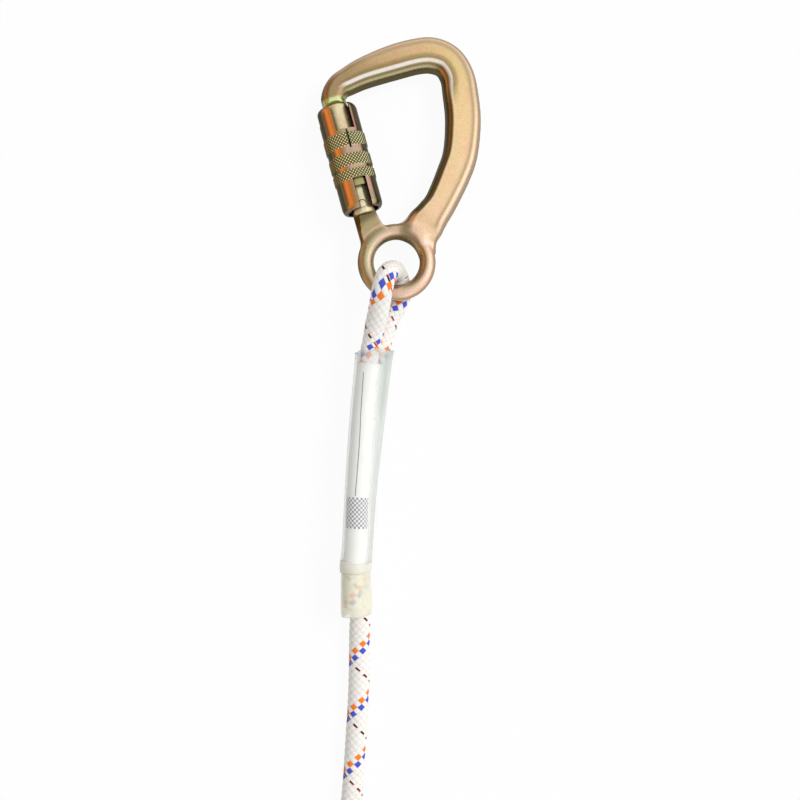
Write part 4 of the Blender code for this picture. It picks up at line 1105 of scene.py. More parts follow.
def build_body():
    """The forged body: the net round its field, with its tones as shares baked into the points, and its rivet.

    Each tone is a product of smooth steps in how far a point has turned round the bar's inner or outer corner,
    how far along the bar or from the ring it lies, and which way its surface faces. Several of them are painted
    shade and painted highlights.
    """
    grid = plane_fields()

    def field(p):
        return body_field(grid, p)

    points, quads = surface_net(field, NET_LOW, NET_HIGH, NET_STEP)
    slope = field_slope(field, points)
    across, width, _, share, _, lug, _, gy = read_plane(grid, points[:, 0], points[:, 1]).T
    distance = np.hypot(points[:, 0], points[:, 1])
    corner = bar_corner(across, share)[0]
    turn_in = (across - (width - corner)) / corner
    turn_out = (-across - (width - corner)) / corner
    off_ring = smoothstep((distance - 24) / 5) * smoothstep((share - 0.04) / 0.05)
    arc = smoothstep((0.55 - share) / 0.08)
    reach = 0.12 + 0.28 * arc
    out = slope @ np.array(carabiner_frame())[:3, :3].T
    out /= np.linalg.norm(out, axis=1, keepdims=True)
    on_ring = smoothstep((RING_OUTER_R + 1.5 - distance) / 3)
    lug_side = (lug < 0.5) * smoothstep((distance - 19) / 2) * (share > 0.5)
    bevel_highlight_band = smoothstep((turn_in + 0.12) / 0.14) * smoothstep((reach - turn_in) / 0.14)
    bore_shade = smoothstep((-out[:, 1] - 0.35) / 0.35) * smoothstep((RING_MEAN_R - 1.0 - distance) / 1.4)
    tones = {
        "along": np.clip(share, 0, 1),
        # painted shade on the arc's face towards its inner edge
        "inner_face_shade": 0.8 * arc * off_ring * smoothstep((turn_in + 1.1) / 1.0),
        # painted highlight: the bright silver bevel round the arc's inner corner
        "bevel_highlight": (0.45 + 0.45 * arc) * off_ring * bevel_highlight_band,
        # painted shade on the bar's inner wall
        "wall": off_ring * smoothstep((turn_in - reach) / 0.1),
        "glint": 0.8 * off_ring * arc * np.exp(-((turn_in - 0.72) / 0.14) ** 2),
        # painted shade: a darker line on the face where the outer corner begins
        "edge": 0.72 * off_ring * np.exp(-((turn_out + 0.10) / 0.30) ** 2),
        # painted highlight: a bright line on the outer corner
        "outer": 0.9 * off_ring * smoothstep((turn_out - 0.22) / 0.2),
        # painted shade on left-facing sides, and on the lug's left side
        "left": np.maximum(
            0.9 * smoothstep((-out[:, 0] - 0.66) / 0.28),
            0.75 * smoothstep((-out[:, 0] - 0.30) / 0.2) * lug_side,
        ),
        # painted shade on the ring, darker the more it faces left
        "ring_left_shade": on_ring * smoothstep((0.28 - out[:, 0]) / 0.5),
        "moss": 0.7 * on_ring * smoothstep((-3 - points[:, 0]) / 12),
        # painted shade in the ring's bore, where it faces down the rope
        "hole": 0.9 * on_ring * bore_shade,
        "rim": 0.65 * smoothstep((-across / width - 0.05) / 0.75) * smoothstep((share - 0.1) / 0.1),
        "ring": on_ring,
        "lug": smoothstep(-lug / 1.2) * smoothstep((LUG_HALF_T + 0.5 - np.abs(points[:, 2])) / 0.3)
        * smoothstep((distance - RING_OUTER_R) / 1.5),
        # painted highlight on the nose's chamfer, with a yellow-green plating tint
        "nose": smoothstep((SHOULDER + 4.2 - gy) / 1.6) * smoothstep((gy - SHOULDER + 1.0) / 0.5)
        * smoothstep((-10 - points[:, 0]) / 3),
    }
    item = mesh_object("forged_body", in_row(points, carabiner_frame()), quads, values=tones)
    item.data.normals_split_custom_set_from_vertices(out)
    dress(item, material("body"), "carabiner_body", "carabiner")
    across_gate = gate_frame() @ Matrix.Rotation(math.radians(90), 4, "X")
    rivet = disc_capped_lathe("rivet", RIVET_PROFILE, 32, across_gate)
    shade_sharp(rivet, 60)
    dress(rivet, material("gate"), "hinge_rivet", "carabiner")


def build_gate():
    """The gate's barrel, turned, forked and slotted, with the collar, guide ring and springs round and in it."""
    frame = gate_frame()
    bar = disc_capped_lathe("gate_barrel", GATE_PROFILE, 96, frame)
    cut(bar, [
        box_cutter("fork", (-GATE_REACH, FORK_Y[0], -FORK_HALF_T), (GATE_REACH, FORK_Y[1], FORK_HALF_T), frame),
        box_cutter(
            "slot", (-GATE_REACH, KEY_SLOT_Y[0], -KEY_SLOT_HALF_T), (KEY_SLOT_X, KEY_SLOT_Y[1], KEY_SLOT_HALF_T), frame,
        ),
    ])
    reach = RIVET_HOLE_REACH
    hole_profile = [(0, -reach), (RIVET_HOLE_R, -reach), (RIVET_HOLE_R, reach), (0, reach)]
    cut(bar, [disc_capped_lathe("hole", hole_profile, 32, frame @ Matrix.Rotation(math.pi / 2, 4, "X"))])
    shade_sharp(bar, 35)
    dress(bar, material("gate"), "gate_bar", "gate")
    for name, node, body, low, high in COLLARS:
        ring = lathe(name, ring_profile(COLLAR_BORE_R, COLLAR_R, low, high), 64, frame)
        shade_sharp(ring)
        dress(ring, material("steel"), node, body)
    for name, node, aside, coil_r, wire_r, low, high, count, sides in SPRINGS:
        turn = np.linspace(0, SPRING_TURNS * math.tau, count)
        rise = np.linspace(low, high, count)
        line = np.stack([aside + coil_r * np.cos(turn), rise, coil_r * np.sin(turn)], axis=1)
        dress(tube(name, line, wire_r, sides, frame), material("steel"), node, "gate")
    for name in ("stop_pin", "gate_plunger"):
        node = bpy.data.objects[name]
        node.data.materials.clear()
        node.data.materials.append(material("steel"))


def tube(name, path, radius, sides, frame, flat=False):
    """A round tube along a path in millimetres, with flat ends.

    Each point is the path's plus r cos a along one sideways direction and r sin a along the other.
    """
    side, across = path_frames(path, flat)
    angle = np.linspace(0, math.tau, sides, endpoint=False)[None, :, None]
    r = np.broadcast_to(np.asarray(radius, float), (len(path),))[:, None, None]
    rings = path[:, None] + r * (side[:, None] * np.cos(angle) + across[:, None] * np.sin(angle))
    points = np.concatenate([rings.reshape(-1, 3), path[:1], path[-1:]])
    quads = grid_faces(len(path), sides)
    n = len(path) * sides
    c = np.arange(sides)
    low = np.stack([np.full(sides, n), (c + 1) % sides, c], axis=1)
    last = (len(path) - 1) * sides
    high = np.stack([np.full(sides, n + 1), last + c, last + (c + 1) % sides], axis=1)
    triangles = np.concatenate(two_triangles(quads) + [low, high])
    return mesh_object(name, in_row(points, frame), triangles)


def knurl_mask(radius, y):
    """1 on the knurled bands and 0 between them, with soft edges."""
    mask = np.zeros_like(y)
    for low, high in BANDS:
        mask = np.maximum(mask, smoothstep((y - low) / 0.5) * smoothstep((high - y) / 0.5))
    return np.where(radius > SLEEVE_R - 0.3, mask, 0.0)


def knurl_depth(angle, y):
    """Diamond knurl: how deep, 0 to 1, two families of grooves at opposite slants cut.

    p and q count the grooves of each family, as turns round plus or less the height, and a groove is deepest
    where either is whole.
    """
    around = KNURLS_ROUND * angle / math.tau
    p, q = around + y / KNURL_PITCH, around - y / KNURL_PITCH
    groove = np.maximum(np.abs(p % 1 - 0.5), np.abs(q % 1 - 0.5)) * 2
    return np.clip((groove - 0.30) / 0.70, 0, 1)


def knurl(angle, radius, y):
    """Height added to the sleeve: how proud the knurl stands, less its grooves to the power of 0.9."""
    deep = bpy.context.scene.metal_looks.knurl_depth / MM
    return knurl_mask(radius, y) * (KNURL_PROUD - deep * knurl_depth(angle, y) ** 0.9)


def knurl_tones(angle, radius, y):
    """Shares of the sleeve's tones: its bands, painted shade in their grooves, an orange side, and two shaded sides.

    The orange side, partly plating tint and partly painted reflection, is a bell in the angle, and the two sides
    of painted shade are smooth steps in it.
    """
    mask = knurl_mask(radius, y)
    outside = (radius > SLEEVE_R - 0.3) * (1 - mask)
    degrees = np.degrees(angle)
    return {
        # the grooves' share is painted shade in the knurl's grooves
        "band": mask, "groove": mask * smoothstep((knurl_depth(angle, y) - 0.12) / 0.55),
        # an orange side on the sleeve's left front: partly plating tint, partly painted reflection
        "warm": outside * np.exp(-(((degrees - 117) / 12) ** 2)),
        # painted shade on the sleeve's right flank
        "cool": outside * smoothstep((52 - degrees) / 26) * (degrees < 180),
        "shade": (radius > SLEEVE_R - 0.5) * (1 - 0.5 * mask) * smoothstep((degrees - 132) / 16)
        * (1 - 0.6 * smoothstep((degrees - 185) / 20) * smoothstep((352 - degrees) / 12)),
    }


def wedge_cutter(name, start, stop, low, high, reach, frame):
    """A wedge about Y between two angles, from +X towards +Z, as a hidden cutter.

    Its section is the axis and an arc of (reach cos a, reach sin a), carried from the lower to the upper end.
    """
    angle = np.linspace(start, stop, WEDGE_POINTS)
    rim = np.stack([reach * np.cos(angle), reach * np.sin(angle)], axis=1)
    flat = np.vstack([[[0.0, 0.0]], rim])
    points = np.vstack([
        np.column_stack([flat[:, 0], np.full(len(flat), y), flat[:, 1]]) for y in (low, high)
    ])
    n = len(flat)
    c = np.arange(n)
    sides = np.stack([c, (c + 1) % n, n + (c + 1) % n, n + c], axis=1)
    k = np.arange(1, n - 1)
    low_fan = np.stack([np.zeros_like(k), k + 1, k], axis=1)
    high_fan = np.stack([np.full_like(k, n), n + k, n + k + 1], axis=1)
    triangles = np.concatenate(two_triangles(sides) + [low_fan, high_fan])
    return mesh_object(name, in_row(points, frame), triangles[:, ::-1], smooth=False)


def build_sleeve():
    """The locking sleeve: a wall turned about the gate's axis, rounded at both ends, knurled and cut, and its bushes.

    Each rounded end is a quarter of an ellipse: so far in by 1 - sin a or 1 - cos a, and so far along by the other.
    """
    frame = gate_frame()
    a = np.radians(np.linspace(0, 90, 9))
    rise, drop = LIP_LENGTH * (1 - np.cos(a)), LIP_LENGTH * (1 - np.sin(a))
    foot = np.column_stack([SLEEVE_R - 1.6 * (1 - np.sin(a)), SLEEVE_FOOT + rise])
    rows = np.concatenate([np.arange(1.4, 12.5, 1.2), np.arange(12.5, 38.1, 0.2), np.arange(38.8, 51.0, 1.2)])
    middle = np.column_stack([np.full(len(rows), SLEEVE_R), rows])
    top = np.column_stack([SLEEVE_R - 2.2 * (1 - np.cos(a)), SLEEVE_TOP - drop])
    inner_top = np.column_stack([SLEEVE_BORE_R - 2.1 * (1 - np.cos(a)), SLEEVE_TOP - drop])[::-1]
    inner_foot = np.column_stack([SLEEVE_BORE_R - 1.6 * (1 - np.sin(a)), SLEEVE_FOOT + rise])[::-1]
    profile = np.vstack([foot, middle, top, inner_top, inner_foot])
    sleeve = lathe("sleeve", profile, 8 * KNURLS_ROUND, frame, bump=knurl, values=knurl_tones)
    cutters = [
        box_cutter(name, (CUT_FROM, low, -half), (CUT_TO, high, half), frame, turn)
        for name, low, high, half, turn in WINDOWS
    ]
    cut(sleeve, cutters + [wedge_cutter("back_window", *BACK_WINDOW, CUT_TO, frame)])
    shade_sharp(sleeve, 38)
    dress(sleeve, material("sleeve"), "locking_sleeve", "sleeve")
    for name, node, inner, low, high in BUSHES:
        item = lathe(name, ring_profile(inner, BUSH_R, low, high), 96, frame)
        if node == "lower_bush":
            cut(item, [wedge_cutter("recess", *RECESS, GATE_REACH, frame)])
        shade_sharp(item)
        dress(item, material("bush"), node, "sleeve")


def pair_at(y):
    """Middle of the two legs at each y, and the direction from the lower leg to the upper one.

    The legs lie a pitch apart, so the rise between them is the root of half the pitch squared less half their
    sideways offset squared.
    """
    rows = smooth_path(np.array(PAIR_STATIONS)[:, [1, 0, 2, 3]], 0.5)[::-1]
    x, offset, low = (np.interp(y, rows[:, 0], rows[:, k]) for k in (1, 2, 3))
    rise = np.sqrt((PAIR_PITCH / 2) ** 2 - offset ** 2)
    across = np.stack([-offset, 0 * offset, rise], axis=-1) / (PAIR_PITCH / 2)
    return np.stack([x, y, low + rise], axis=-1), across


def leg(y, side):
    """Centre line of the tail leg (side +1) or the standing leg (side -1)."""
    middle, across = pair_at(np.asarray(y, float))
    return middle + across * side * PAIR_PITCH / 2


def eye_path():
    """Smooth line up the tail leg, round the ring's bar and down the standing leg to where the run starts."""
    tail = leg(np.linspace(TAIL_END_Y, TUBE_HEAD_Y, 12), 1)
    stand = leg(np.linspace(TUBE_HEAD_Y, EXIT_Y + 12, 10), -1)
    out = [[RUN_POINTS[0][0], EXIT_Y, RUN_START_Z]]
    return smooth_path(np.vstack([tail, np.array(EYE_TURN), stand, out]), ROPE_STEP)


def hank_path():
    """Points down the left run, round the foot, up the right run and round the top, loop after loop.

    The distance out from the fold's centre steps out and in again every turn and a half, the layer rises at
    each reversal, and sin squared draws the runs in at the waist.
    """
    fold = math.pi * (HANK_FOLD_R + HANK_STEP * HANK_LAYER_LOOPS / 2)
    lap = 2 * (HANK_RUN + fold)
    first = -HANK_RUN / 2 / lap
    turn = np.arange(0, HANK_END, 1 / HANK_STEPS)
    lead_in = [first, first * 0.75, first * 0.5, first * 0.25]
    turn = np.concatenate([lead_in, turn[turn < HANK_END - 0.01], [HANK_END]])
    swing = np.abs(turn % (2 * HANK_LAYER_LOOPS) - HANK_LAYER_LOOPS)
    swing = np.where(turn < 0, HANK_LAYER_LOOPS - turn, swing)
    swing = np.where(turn > HANK_LOOPS, HANK_LAYER_LOOPS + (turn - HANK_LOOPS) * HANK_END_SPREAD, swing)
    reversals = np.arange(1, round(HANK_LOOPS / HANK_LAYER_LOOPS))
    level = smoothstep((turn[:, None] - reversals * HANK_LAYER_LOOPS) * 2 + 0.5).sum(axis=1)
    rho = HANK_FOLD_R + HANK_STEP * swing
    spot = np.maximum(turn * lap + HANK_RUN / 2, 0.0)
    half = np.floor(spot / (HANK_RUN + fold)) % 2
    spot = spot % (HANK_RUN + fold)
    side = np.where(half == 0, -1.0, 1.0)
    waist = np.sin(math.pi * np.clip(spot / HANK_RUN, 0, 1)) ** 2
    angle = math.pi * np.clip((spot - HANK_RUN) / fold, 0, 1)
    in_run = spot < HANK_RUN
    x = side * np.where(in_run, rho - HANK_WAIST * waist, rho * np.cos(angle))
    y_run = np.where(half == 0, -spot, spot - HANK_RUN)
    y_fold = np.where(half == 0, -HANK_RUN - rho * np.sin(angle), rho * np.sin(angle))
    y = np.where(in_run, y_run, y_fold)
    z = ROPE_R + HANK_LAYER * level + HANK_LIFT * waist * in_run
    return np.column_stack([HANK_X + x, HANK_TOP_Y + y, z])


def free_path():
    """The run on the floor and the hank, as one line, fine enough to measure."""
    run = np.array(RUN_POINTS)
    z = np.interp(-run[:, 1], RUN_SINKS, [RUN_START_Z, ROPE_R])
    route = np.column_stack([run, z])
    route[0, 1] = EXIT_Y
    return smooth_path(np.vstack([route, hank_path()]), ROPE_STEP)


def braid_height(u, v):
    """Height of the braid's surface, 0 in its pits to 1 on its crowns: u turns round, v leads along.

    p = 8(u + v) and q = 8(u - v) count the strands each way, and the one along q is over where their whole
    parts add up to an even number. Each strand waves over and under as cos(pi d), d from the middle of its
    float, and is rounded across as 1 less the square of e over 0.4, e from its own middle. The higher shows.
    """
    p, q = CARRIERS * (u + v), CARRIERS * (u - v)
    even = (np.floor(p) + np.floor(q)) % 2 < 1
    e_q, e_p = np.abs(q % 1 - 0.5), np.abs(p % 1 - 0.5)
    d_q, d_p = np.where(even, e_p, 1 - e_p), np.where(even, 1 - e_q, e_q)
    high_q = np.cos(math.pi * d_q) + CROWN * (1 - (e_q / CROWN_HALF_WIDTH) ** 2)
    high_p = np.cos(math.pi * d_p) + CROWN * (1 - (e_p / CROWN_HALF_WIDTH) ** 2)
    return (np.maximum(np.maximum(high_q, high_p), PIT) - PIT) / (1 + CROWN - PIT)


def rope_part(path, radius, sides, flat, braid, relief):
    """A grid of points round a path with the braid's relief, and the braid's coordinates with one column more.

    braid turns (turns round, millimetres along) into the braid's coordinates.
    """
    side, across = path_frames(path, flat)
    u = np.arange(sides + 1)[None, :] / sides
    fu, fv = braid(u, arc_length(path)[:, None])
    r = np.broadcast_to(np.asarray(radius, float), (len(path),))[:, None]
    r = r + relief * (braid_height(fu, fv)[:, :-1] - MEAN_HEIGHT)
    a = (math.tau * u[:, :-1])[..., None]
    rings = path[:, None] + r[..., None] * (side[:, None] * np.cos(a) + across[:, None] * np.sin(a))
    return rings, np.stack([fu, fv], axis=-1)


def strip_uv(grid):
    """Braid coordinates for the corners of a closed grid's quads."""
    return np.stack([grid[:-1, :-1], grid[:-1, 1:], grid[1:, 1:], grid[1:, :-1]], axis=2).reshape(-1, 4, 2)


def free_braid(u, along):
    """The free rope's braid: turns round and leads along, each with its own start."""
    v = along / LEAD
    return u + FREE_PHASE[0] + 0 * v, v + FREE_PHASE[1] + 0 * u


def eye_braid(u, along):
    """The eye's braid is longer in the lead on the tail, and its last part shows turned end for end."""
    v = np.interp(along / LEAD, EYE_LEADS[0], EYE_LEADS[1])
    end = along < TAIL_TURNED
    fu = np.where(end, TAIL_PHASE[0] - u, u + EYE_PHASE[0] + 0 * v)
    fv = np.where(end, TAIL_PHASE[1] - along / LEAD, v + EYE_PHASE[1]) + 0 * u
    return fu, fv


def cap(ring, first, flip):
    """Triangles from a ring's own middle, with separate points so that the edge stays crisp."""
    n = len(ring)
    points = np.vstack([ring, ring.mean(axis=0)])
    c = np.arange(n)
    start, stop = (c, (c + 1) % n) if flip else ((c + 1) % n, c)
    return points, np.stack([start, stop, np.full(n, n)], axis=1) + first


def build_eye(looks):
    """The eye: one rope from the tail's end, round the ring and back, with the braid's relief."""
    path = eye_path()
    inside = np.clip((DRAWN_FROM_Y - path[:, 1]) / DRAWN_OVER, 0, 1)
    radius = ROPE_R + (ROPE_TUBE_R - ROPE_R) * smoothstep(inside)
    rings, grid = rope_part(path, radius, ROPE_SIDES, False, eye_braid, looks.relief / MM)
    points = rings.reshape(-1, 3)
    low, low_faces = cap(rings[0], len(points), False)
    high, high_faces = cap(rings[-1], len(points) + len(low), True)
    faces = np.concatenate(two_triangles(grid_faces(len(path), ROPE_SIDES)) + [low_faces, high_faces])
    flat_uv = np.zeros((len(low_faces) + len(high_faces), 3, 2))
    uv = np.concatenate(two_triangles(strip_uv(grid)) + [flat_uv])
    eye = mesh_object("rope_eye_braid", in_row(np.vstack([points, low, high]), place_frame()), faces, uv)
    dress(eye, material("rope"), "rope_eye", "rope")


def build_free_rope(looks):
    """The long rope: fine rings with relief near the eye, then coarser smooth ones through the hank.

    Every point is the line's plus the rope's radius about it, and the braid's coordinates run on unbroken.
    """
    path = free_path()
    along = arc_length(path)
    count = int(np.searchsorted(along, FINE_RUN))
    radius = ROPE_R - EXIT_THINNER * (1 - smoothstep(along / EXIT_TAPER))
    fine, fine_grid = rope_part(path[:count], radius[:count], ROPE_SIDES, True, free_braid, looks.relief / MM)
    rest = np.append(np.arange(count + 2, len(path) - 1, HANK_ROWS), len(path) - 1)
    side, across = path_frames(path, True)
    a = (math.tau * np.arange(HANK_SIDES) / HANK_SIDES)[None, :, None]
    round_it = side[rest][:, None] * np.cos(a) + across[rest][:, None] * np.sin(a)
    coarse = path[rest][:, None] + (ROPE_R - 0.05) * round_it
    turns = np.arange(HANK_SIDES + 1)[None, :] / HANK_SIDES
    coarse_grid = np.stack(free_braid(turns, along[rest][:, None]), axis=-1)
    fine_points, coarse_points = fine.reshape(-1, 3), coarse.reshape(-1, 3)
    n = len(fine_points)
    # the strip between the two grids: each coarse edge takes three fine ones
    j = np.arange(HANK_SIDES)
    last = (count - 1) * ROPE_SIDES
    f = [last + (3 * j + k) % ROPE_SIDES for k in range(4)]
    fine_uv = [fine_grid[-1, 3 * j + k] for k in range(4)]
    joints = [
        np.concatenate([np.stack(t, axis=1) for t in ((f0, f1, c0), (f1, f2, c0), (f2, c1, c0), (f2, f3, c1))])
        for (f0, f1, f2, f3), c0, c1 in (
            (f, n + j, n + (j + 1) % HANK_SIDES), (fine_uv, coarse_grid[0, j], coarse_grid[0, j + 1]),
        )
    ]
    low, low_faces = cap(fine[0], n + len(coarse_points), False)
    high, high_faces = cap(coarse[-1], n + len(coarse_points) + len(low), True)
    faces = np.concatenate([
        *two_triangles(grid_faces(count, ROPE_SIDES)), joints[0],
        *two_triangles(grid_faces(len(rest), HANK_SIDES) + n), low_faces, high_faces,
    ])
    flat_uv = np.zeros((len(low_faces) + len(high_faces), 3, 2))
    uv = np.concatenate([
        *two_triangles(strip_uv(fine_grid)), joints[1], *two_triangles(strip_uv(coarse_grid)), flat_uv,
    ])
    points = np.vstack([fine_points, coarse_points, low, high])
    coarse_flag = np.zeros(len(points))
    coarse_flag[n:n + len(coarse_points)] = 1.0
    rope = mesh_object("free_rope", in_row(points, place_frame()), faces, uv, values={"coarse": coarse_flag})
    dress(rope, material("rope"), "rope_run", "rope")
    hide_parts("rope_run", "rope_hank")


def wrap_rings(y, radius, sides=WRAP_SIDES):
    """Rings round both legs: a half round of the given radius about each leg, joined by straights.

    The first half runs from the left over the upper leg to the right, the second back under the lower leg.
    """
    middle, across = pair_at(y)
    heading = np.gradient(middle, axis=0) * np.sign(y[-1] - y[0])
    heading[:, 2] = 0.0
    normal = np.cross(across, heading)
    normal /= np.linalg.norm(normal, axis=1, keepdims=True)
    a = np.linspace(0, math.pi, sides // 2)
    half = np.concatenate([np.ones(len(a)), -np.ones(len(a))])
    a = np.concatenate([a, a])
    radius = np.broadcast_to(radius, (len(y), len(a)))
    reach = half * (PAIR_PITCH / 2 + radius * np.sin(a))
    aside = half * radius * np.cos(a)
    return middle[:, None] + across[:, None] * reach[..., None] + normal[:, None] * aside[..., None]


def wall_mesh(name, outer, inner, frame, values=None):
    """A wall between two grids of points, closed at the ends and round the loop."""
    rows, sides = outer.shape[:2]
    n = rows * sides
    faces = grid_faces(rows, sides)
    c = np.arange(sides)
    d = (c + 1) % sides
    last = (rows - 1) * sides
    start = np.stack([n + c, n + d, d, c], axis=1)
    stop = np.stack([last + c, last + d, n + last + d, n + last + c], axis=1)
    quads = np.concatenate([faces, faces[:, ::-1] + n, start, stop])
    points = np.vstack([outer.reshape(-1, 3), inner.reshape(-1, 3)])
    return mesh_object(name, in_row(points, frame), quads, values=values)


def build_tubes():
    """The clear and the cream shrink tube: walls of rings round both legs.

    The clear one's radius adds slow waves, a flare that fades away from its mouth and a fall at its foot, and
    its mouth is ragged by a sum of sines round it.
    """
    frame = place_frame()
    end = CLEAR_Y[1] - 1.2
    y = np.append(np.arange(CLEAR_Y[0], end + 0.5, -0.9), [end + 0.3, end])
    along = (CLEAR_Y[0] - y)[:, None]
    t = np.arange(WRAP_SIDES)[None, :] / WRAP_SIDES
    turn = math.tau * t
    mouth = np.exp(-along / 4.5)
    foot = np.exp(-(y - end)[:, None] / 1.6)
    wave = 0.22 * np.sin(along / 17 + 3 * turn) + 0.14 * np.sin(along / 8.5 + 2 * turn + 1.3)
    flare = mouth * (0.55 + 0.35 * np.sin(3 * turn + 0.6) + 0.2 * np.sin(7 * turn))
    inner_r = ROPE_TUBE_R + GAP + LABEL_WALL + GAP
    outer = inner_r + CLEAR_WALL - 0.15 + 0.5 * wave * (1 - mouth) + flare - 0.55 * foot
    inner = inner_r + 0.1 * wave + flare * 0.8
    rings = [wrap_rings(y, r) for r in (outer, inner)]
    ragged = mouth * (-1.6 - 1.7 * np.cos(turn) + 0.35 * np.sin(5 * turn + 1.0) + 0.25 * np.sin(11 * turn))
    for grid in rings:
        grid[..., 1] += ragged
    side = smoothstep((t - 0.485) / 0.015) * smoothstep((0.66 - t) / 0.06) * (0.35 + 0.65 * np.exp(-along / 45))
    side = np.maximum(side, 0.7 * np.exp(-along / 4.0))
    lip = smoothstep((along - (CLEAR_Y[0] - CLEAR_Y[1]) + 4.6 + 0.5 * np.cos(turn)) / 0.8)
    tones = {"loose": np.tile(side.ravel(), 2), "lip": np.tile(lip.ravel(), 2)}
    clear = wall_mesh("clear_shrink_tube", rings[0], rings[1], frame, tones)
    dress(clear, material("clear"), "clear_tube", "rope")
    y = np.append(np.arange(LOWER_Y[0] + 0.7, LOWER_Y[1] + 0.5, -0.6), LOWER_Y[1])
    foot = np.exp(-(y - LOWER_Y[1])[:, None] / 1.2)
    inner_r = ROPE_TUBE_R + GAP
    outer = inner_r + LOWER_WALL - 0.5 * foot + 0.08 * np.sin(y[:, None] / 5 + 2 * turn)
    outer = outer - 0.5 * smoothstep((y[:, None] - LOWER_Y[0] + 1.4) / 1.0)
    inner = inner_r + 0 * outer
    lower = wall_mesh("lower_shrink_tube", wrap_rings(y, outer), wrap_rings(y, inner), frame)
    dress(lower, material("cream"), "lower_tube", "rope")


def sheet(outer, inner):
    """Quads and points of an open sheet between two grids of points: its two faces, then its four edges."""
    rows, cols = outer.shape[:2]
    n = rows * cols
    faces = grid_faces(rows, cols, wrap=False)
    r, c = np.arange(rows - 1) * cols, np.arange(cols - 1)
    e, b = cols - 1, (rows - 1) * cols
    edges = [
        (n + r, r, r + cols, n + r + cols),
        (r + e, n + r + e, n + r + cols + e, r + cols + e),
        (n + c, n + c + 1, c + 1, c),
        (b + c, b + c + 1, n + b + c + 1, n + b + c),
    ]
    quads = np.concatenate([faces, faces[:, ::-1] + n] + [np.stack(edge, axis=1) for edge in edges])
    return quads, np.vstack([outer.reshape(-1, 3), inner.reshape(-1, 3)])


def build_label():
    """The label: a sheet of rings round both legs, cut short on the right, with print places in its UV.

    Each row is read off a ring round both legs at even steps from its left to its right end.
    """
    frame = place_frame()
    rows, cols, back = LABEL_ROWS, LABEL_COLUMNS, LABEL_BACK
    y = np.linspace(*LABEL_Y, rows)
    # the paper comes round from the back of the left side, and stops short of the right side near its head
    end = back + np.interp(-y, *LABEL_ENDS)
    place = end[:, None] * np.linspace(0.0, 1.0, cols)
    low = place.astype(int)
    part = (place - low)[..., None]
    row = np.arange(rows)[:, None]
    rings = {}
    for key, r in (("out", ROPE_TUBE_R + GAP + LABEL_WALL), ("in", ROPE_TUBE_R + GAP)):
        grid = wrap_rings(y, r, LABEL_SIDES)
        grid = np.concatenate([grid[:, -back:], grid[:, :LABEL_FRONT]], axis=1)
        rings[key] = grid[row, low] * (1 - part) + grid[row, low + 1] * part
        if key == "out":
            steps = np.linalg.norm(np.diff(grid, axis=1), axis=2)
            length = np.concatenate([np.zeros((rows, 1)), np.cumsum(steps, axis=1)], axis=1)
            length = length - length[:, [back]]
            round_it = length[row, low] * (1 - part[..., 0]) + length[row, low + 1] * part[..., 0]
    n = rows * cols
    quads, points = sheet(rings["out"], rings["in"])
    # print coordinates in millimetres: round the rope from the upper leg's crown, and down from the top edge
    crown = (ROPE_TUBE_R + GAP + LABEL_WALL) * math.pi / 2
    px = np.concatenate([(round_it - crown).ravel(), np.full(n, 99.0)])
    py = np.concatenate([np.repeat(LABEL_Y[0] - y, cols), np.full(n, 999.0)])
    uv = np.stack([px[quads], py[quads]], axis=-1) / PRINT_SCALE
    label = mesh_object("paper_label", in_row(points, frame), quads, uv)
    dress(label, material("label"), "identity_label", "rope")


def build_seam(looks):
    """The seam: a thread that runs to and fro between the legs, once in front and once behind.

    Its line is the legs' middle, moved out along their common normal and across them by a zigzag in y.
    """
    frame = place_frame()
    y = np.linspace(*SEAM_Y, 600)
    for name, side, node in (("stitch_front", -1.0, "seam_front"), ("stitch_back", 1.0, "seam_back")):
        middle, across = pair_at(y)
        normal = np.stack([across[:, 2], 0 * y, -across[:, 0]], axis=-1) * side
        zigzag = np.abs((y / STITCH) % 1 * 2 - 1) * 2 - 1
        line = middle + normal * SEAM_OUT + across * (zigzag * STITCH_HALF_WIDTH)[:, None]
        stitch = tube(name, line, looks.thread_width / MM / 2, 8, frame, True)
        dress(stitch, material("thread"), node, "rope")


def strap_grid(walls, y, centres):
    """Rows of a rounded rectangle in X and Z: quarter circles of the corner's radius plus a wall about four centres."""
    angle = np.radians(np.linspace(0, 90, 12))
    turns = np.concatenate([angle + k * math.pi / 2 for k in range(4)])
    middles = np.repeat(centres, len(angle), axis=0)
    outline = np.stack([np.cos(turns), np.sin(turns)], axis=1)
    loops = middles[None] + (TIE_CORNER + np.array(walls))[:, None, None] * outline[None]
    return np.stack([loops[..., 0], np.broadcast_to(y[:, None], loops.shape[:2]), loops[..., 1]], axis=-1)


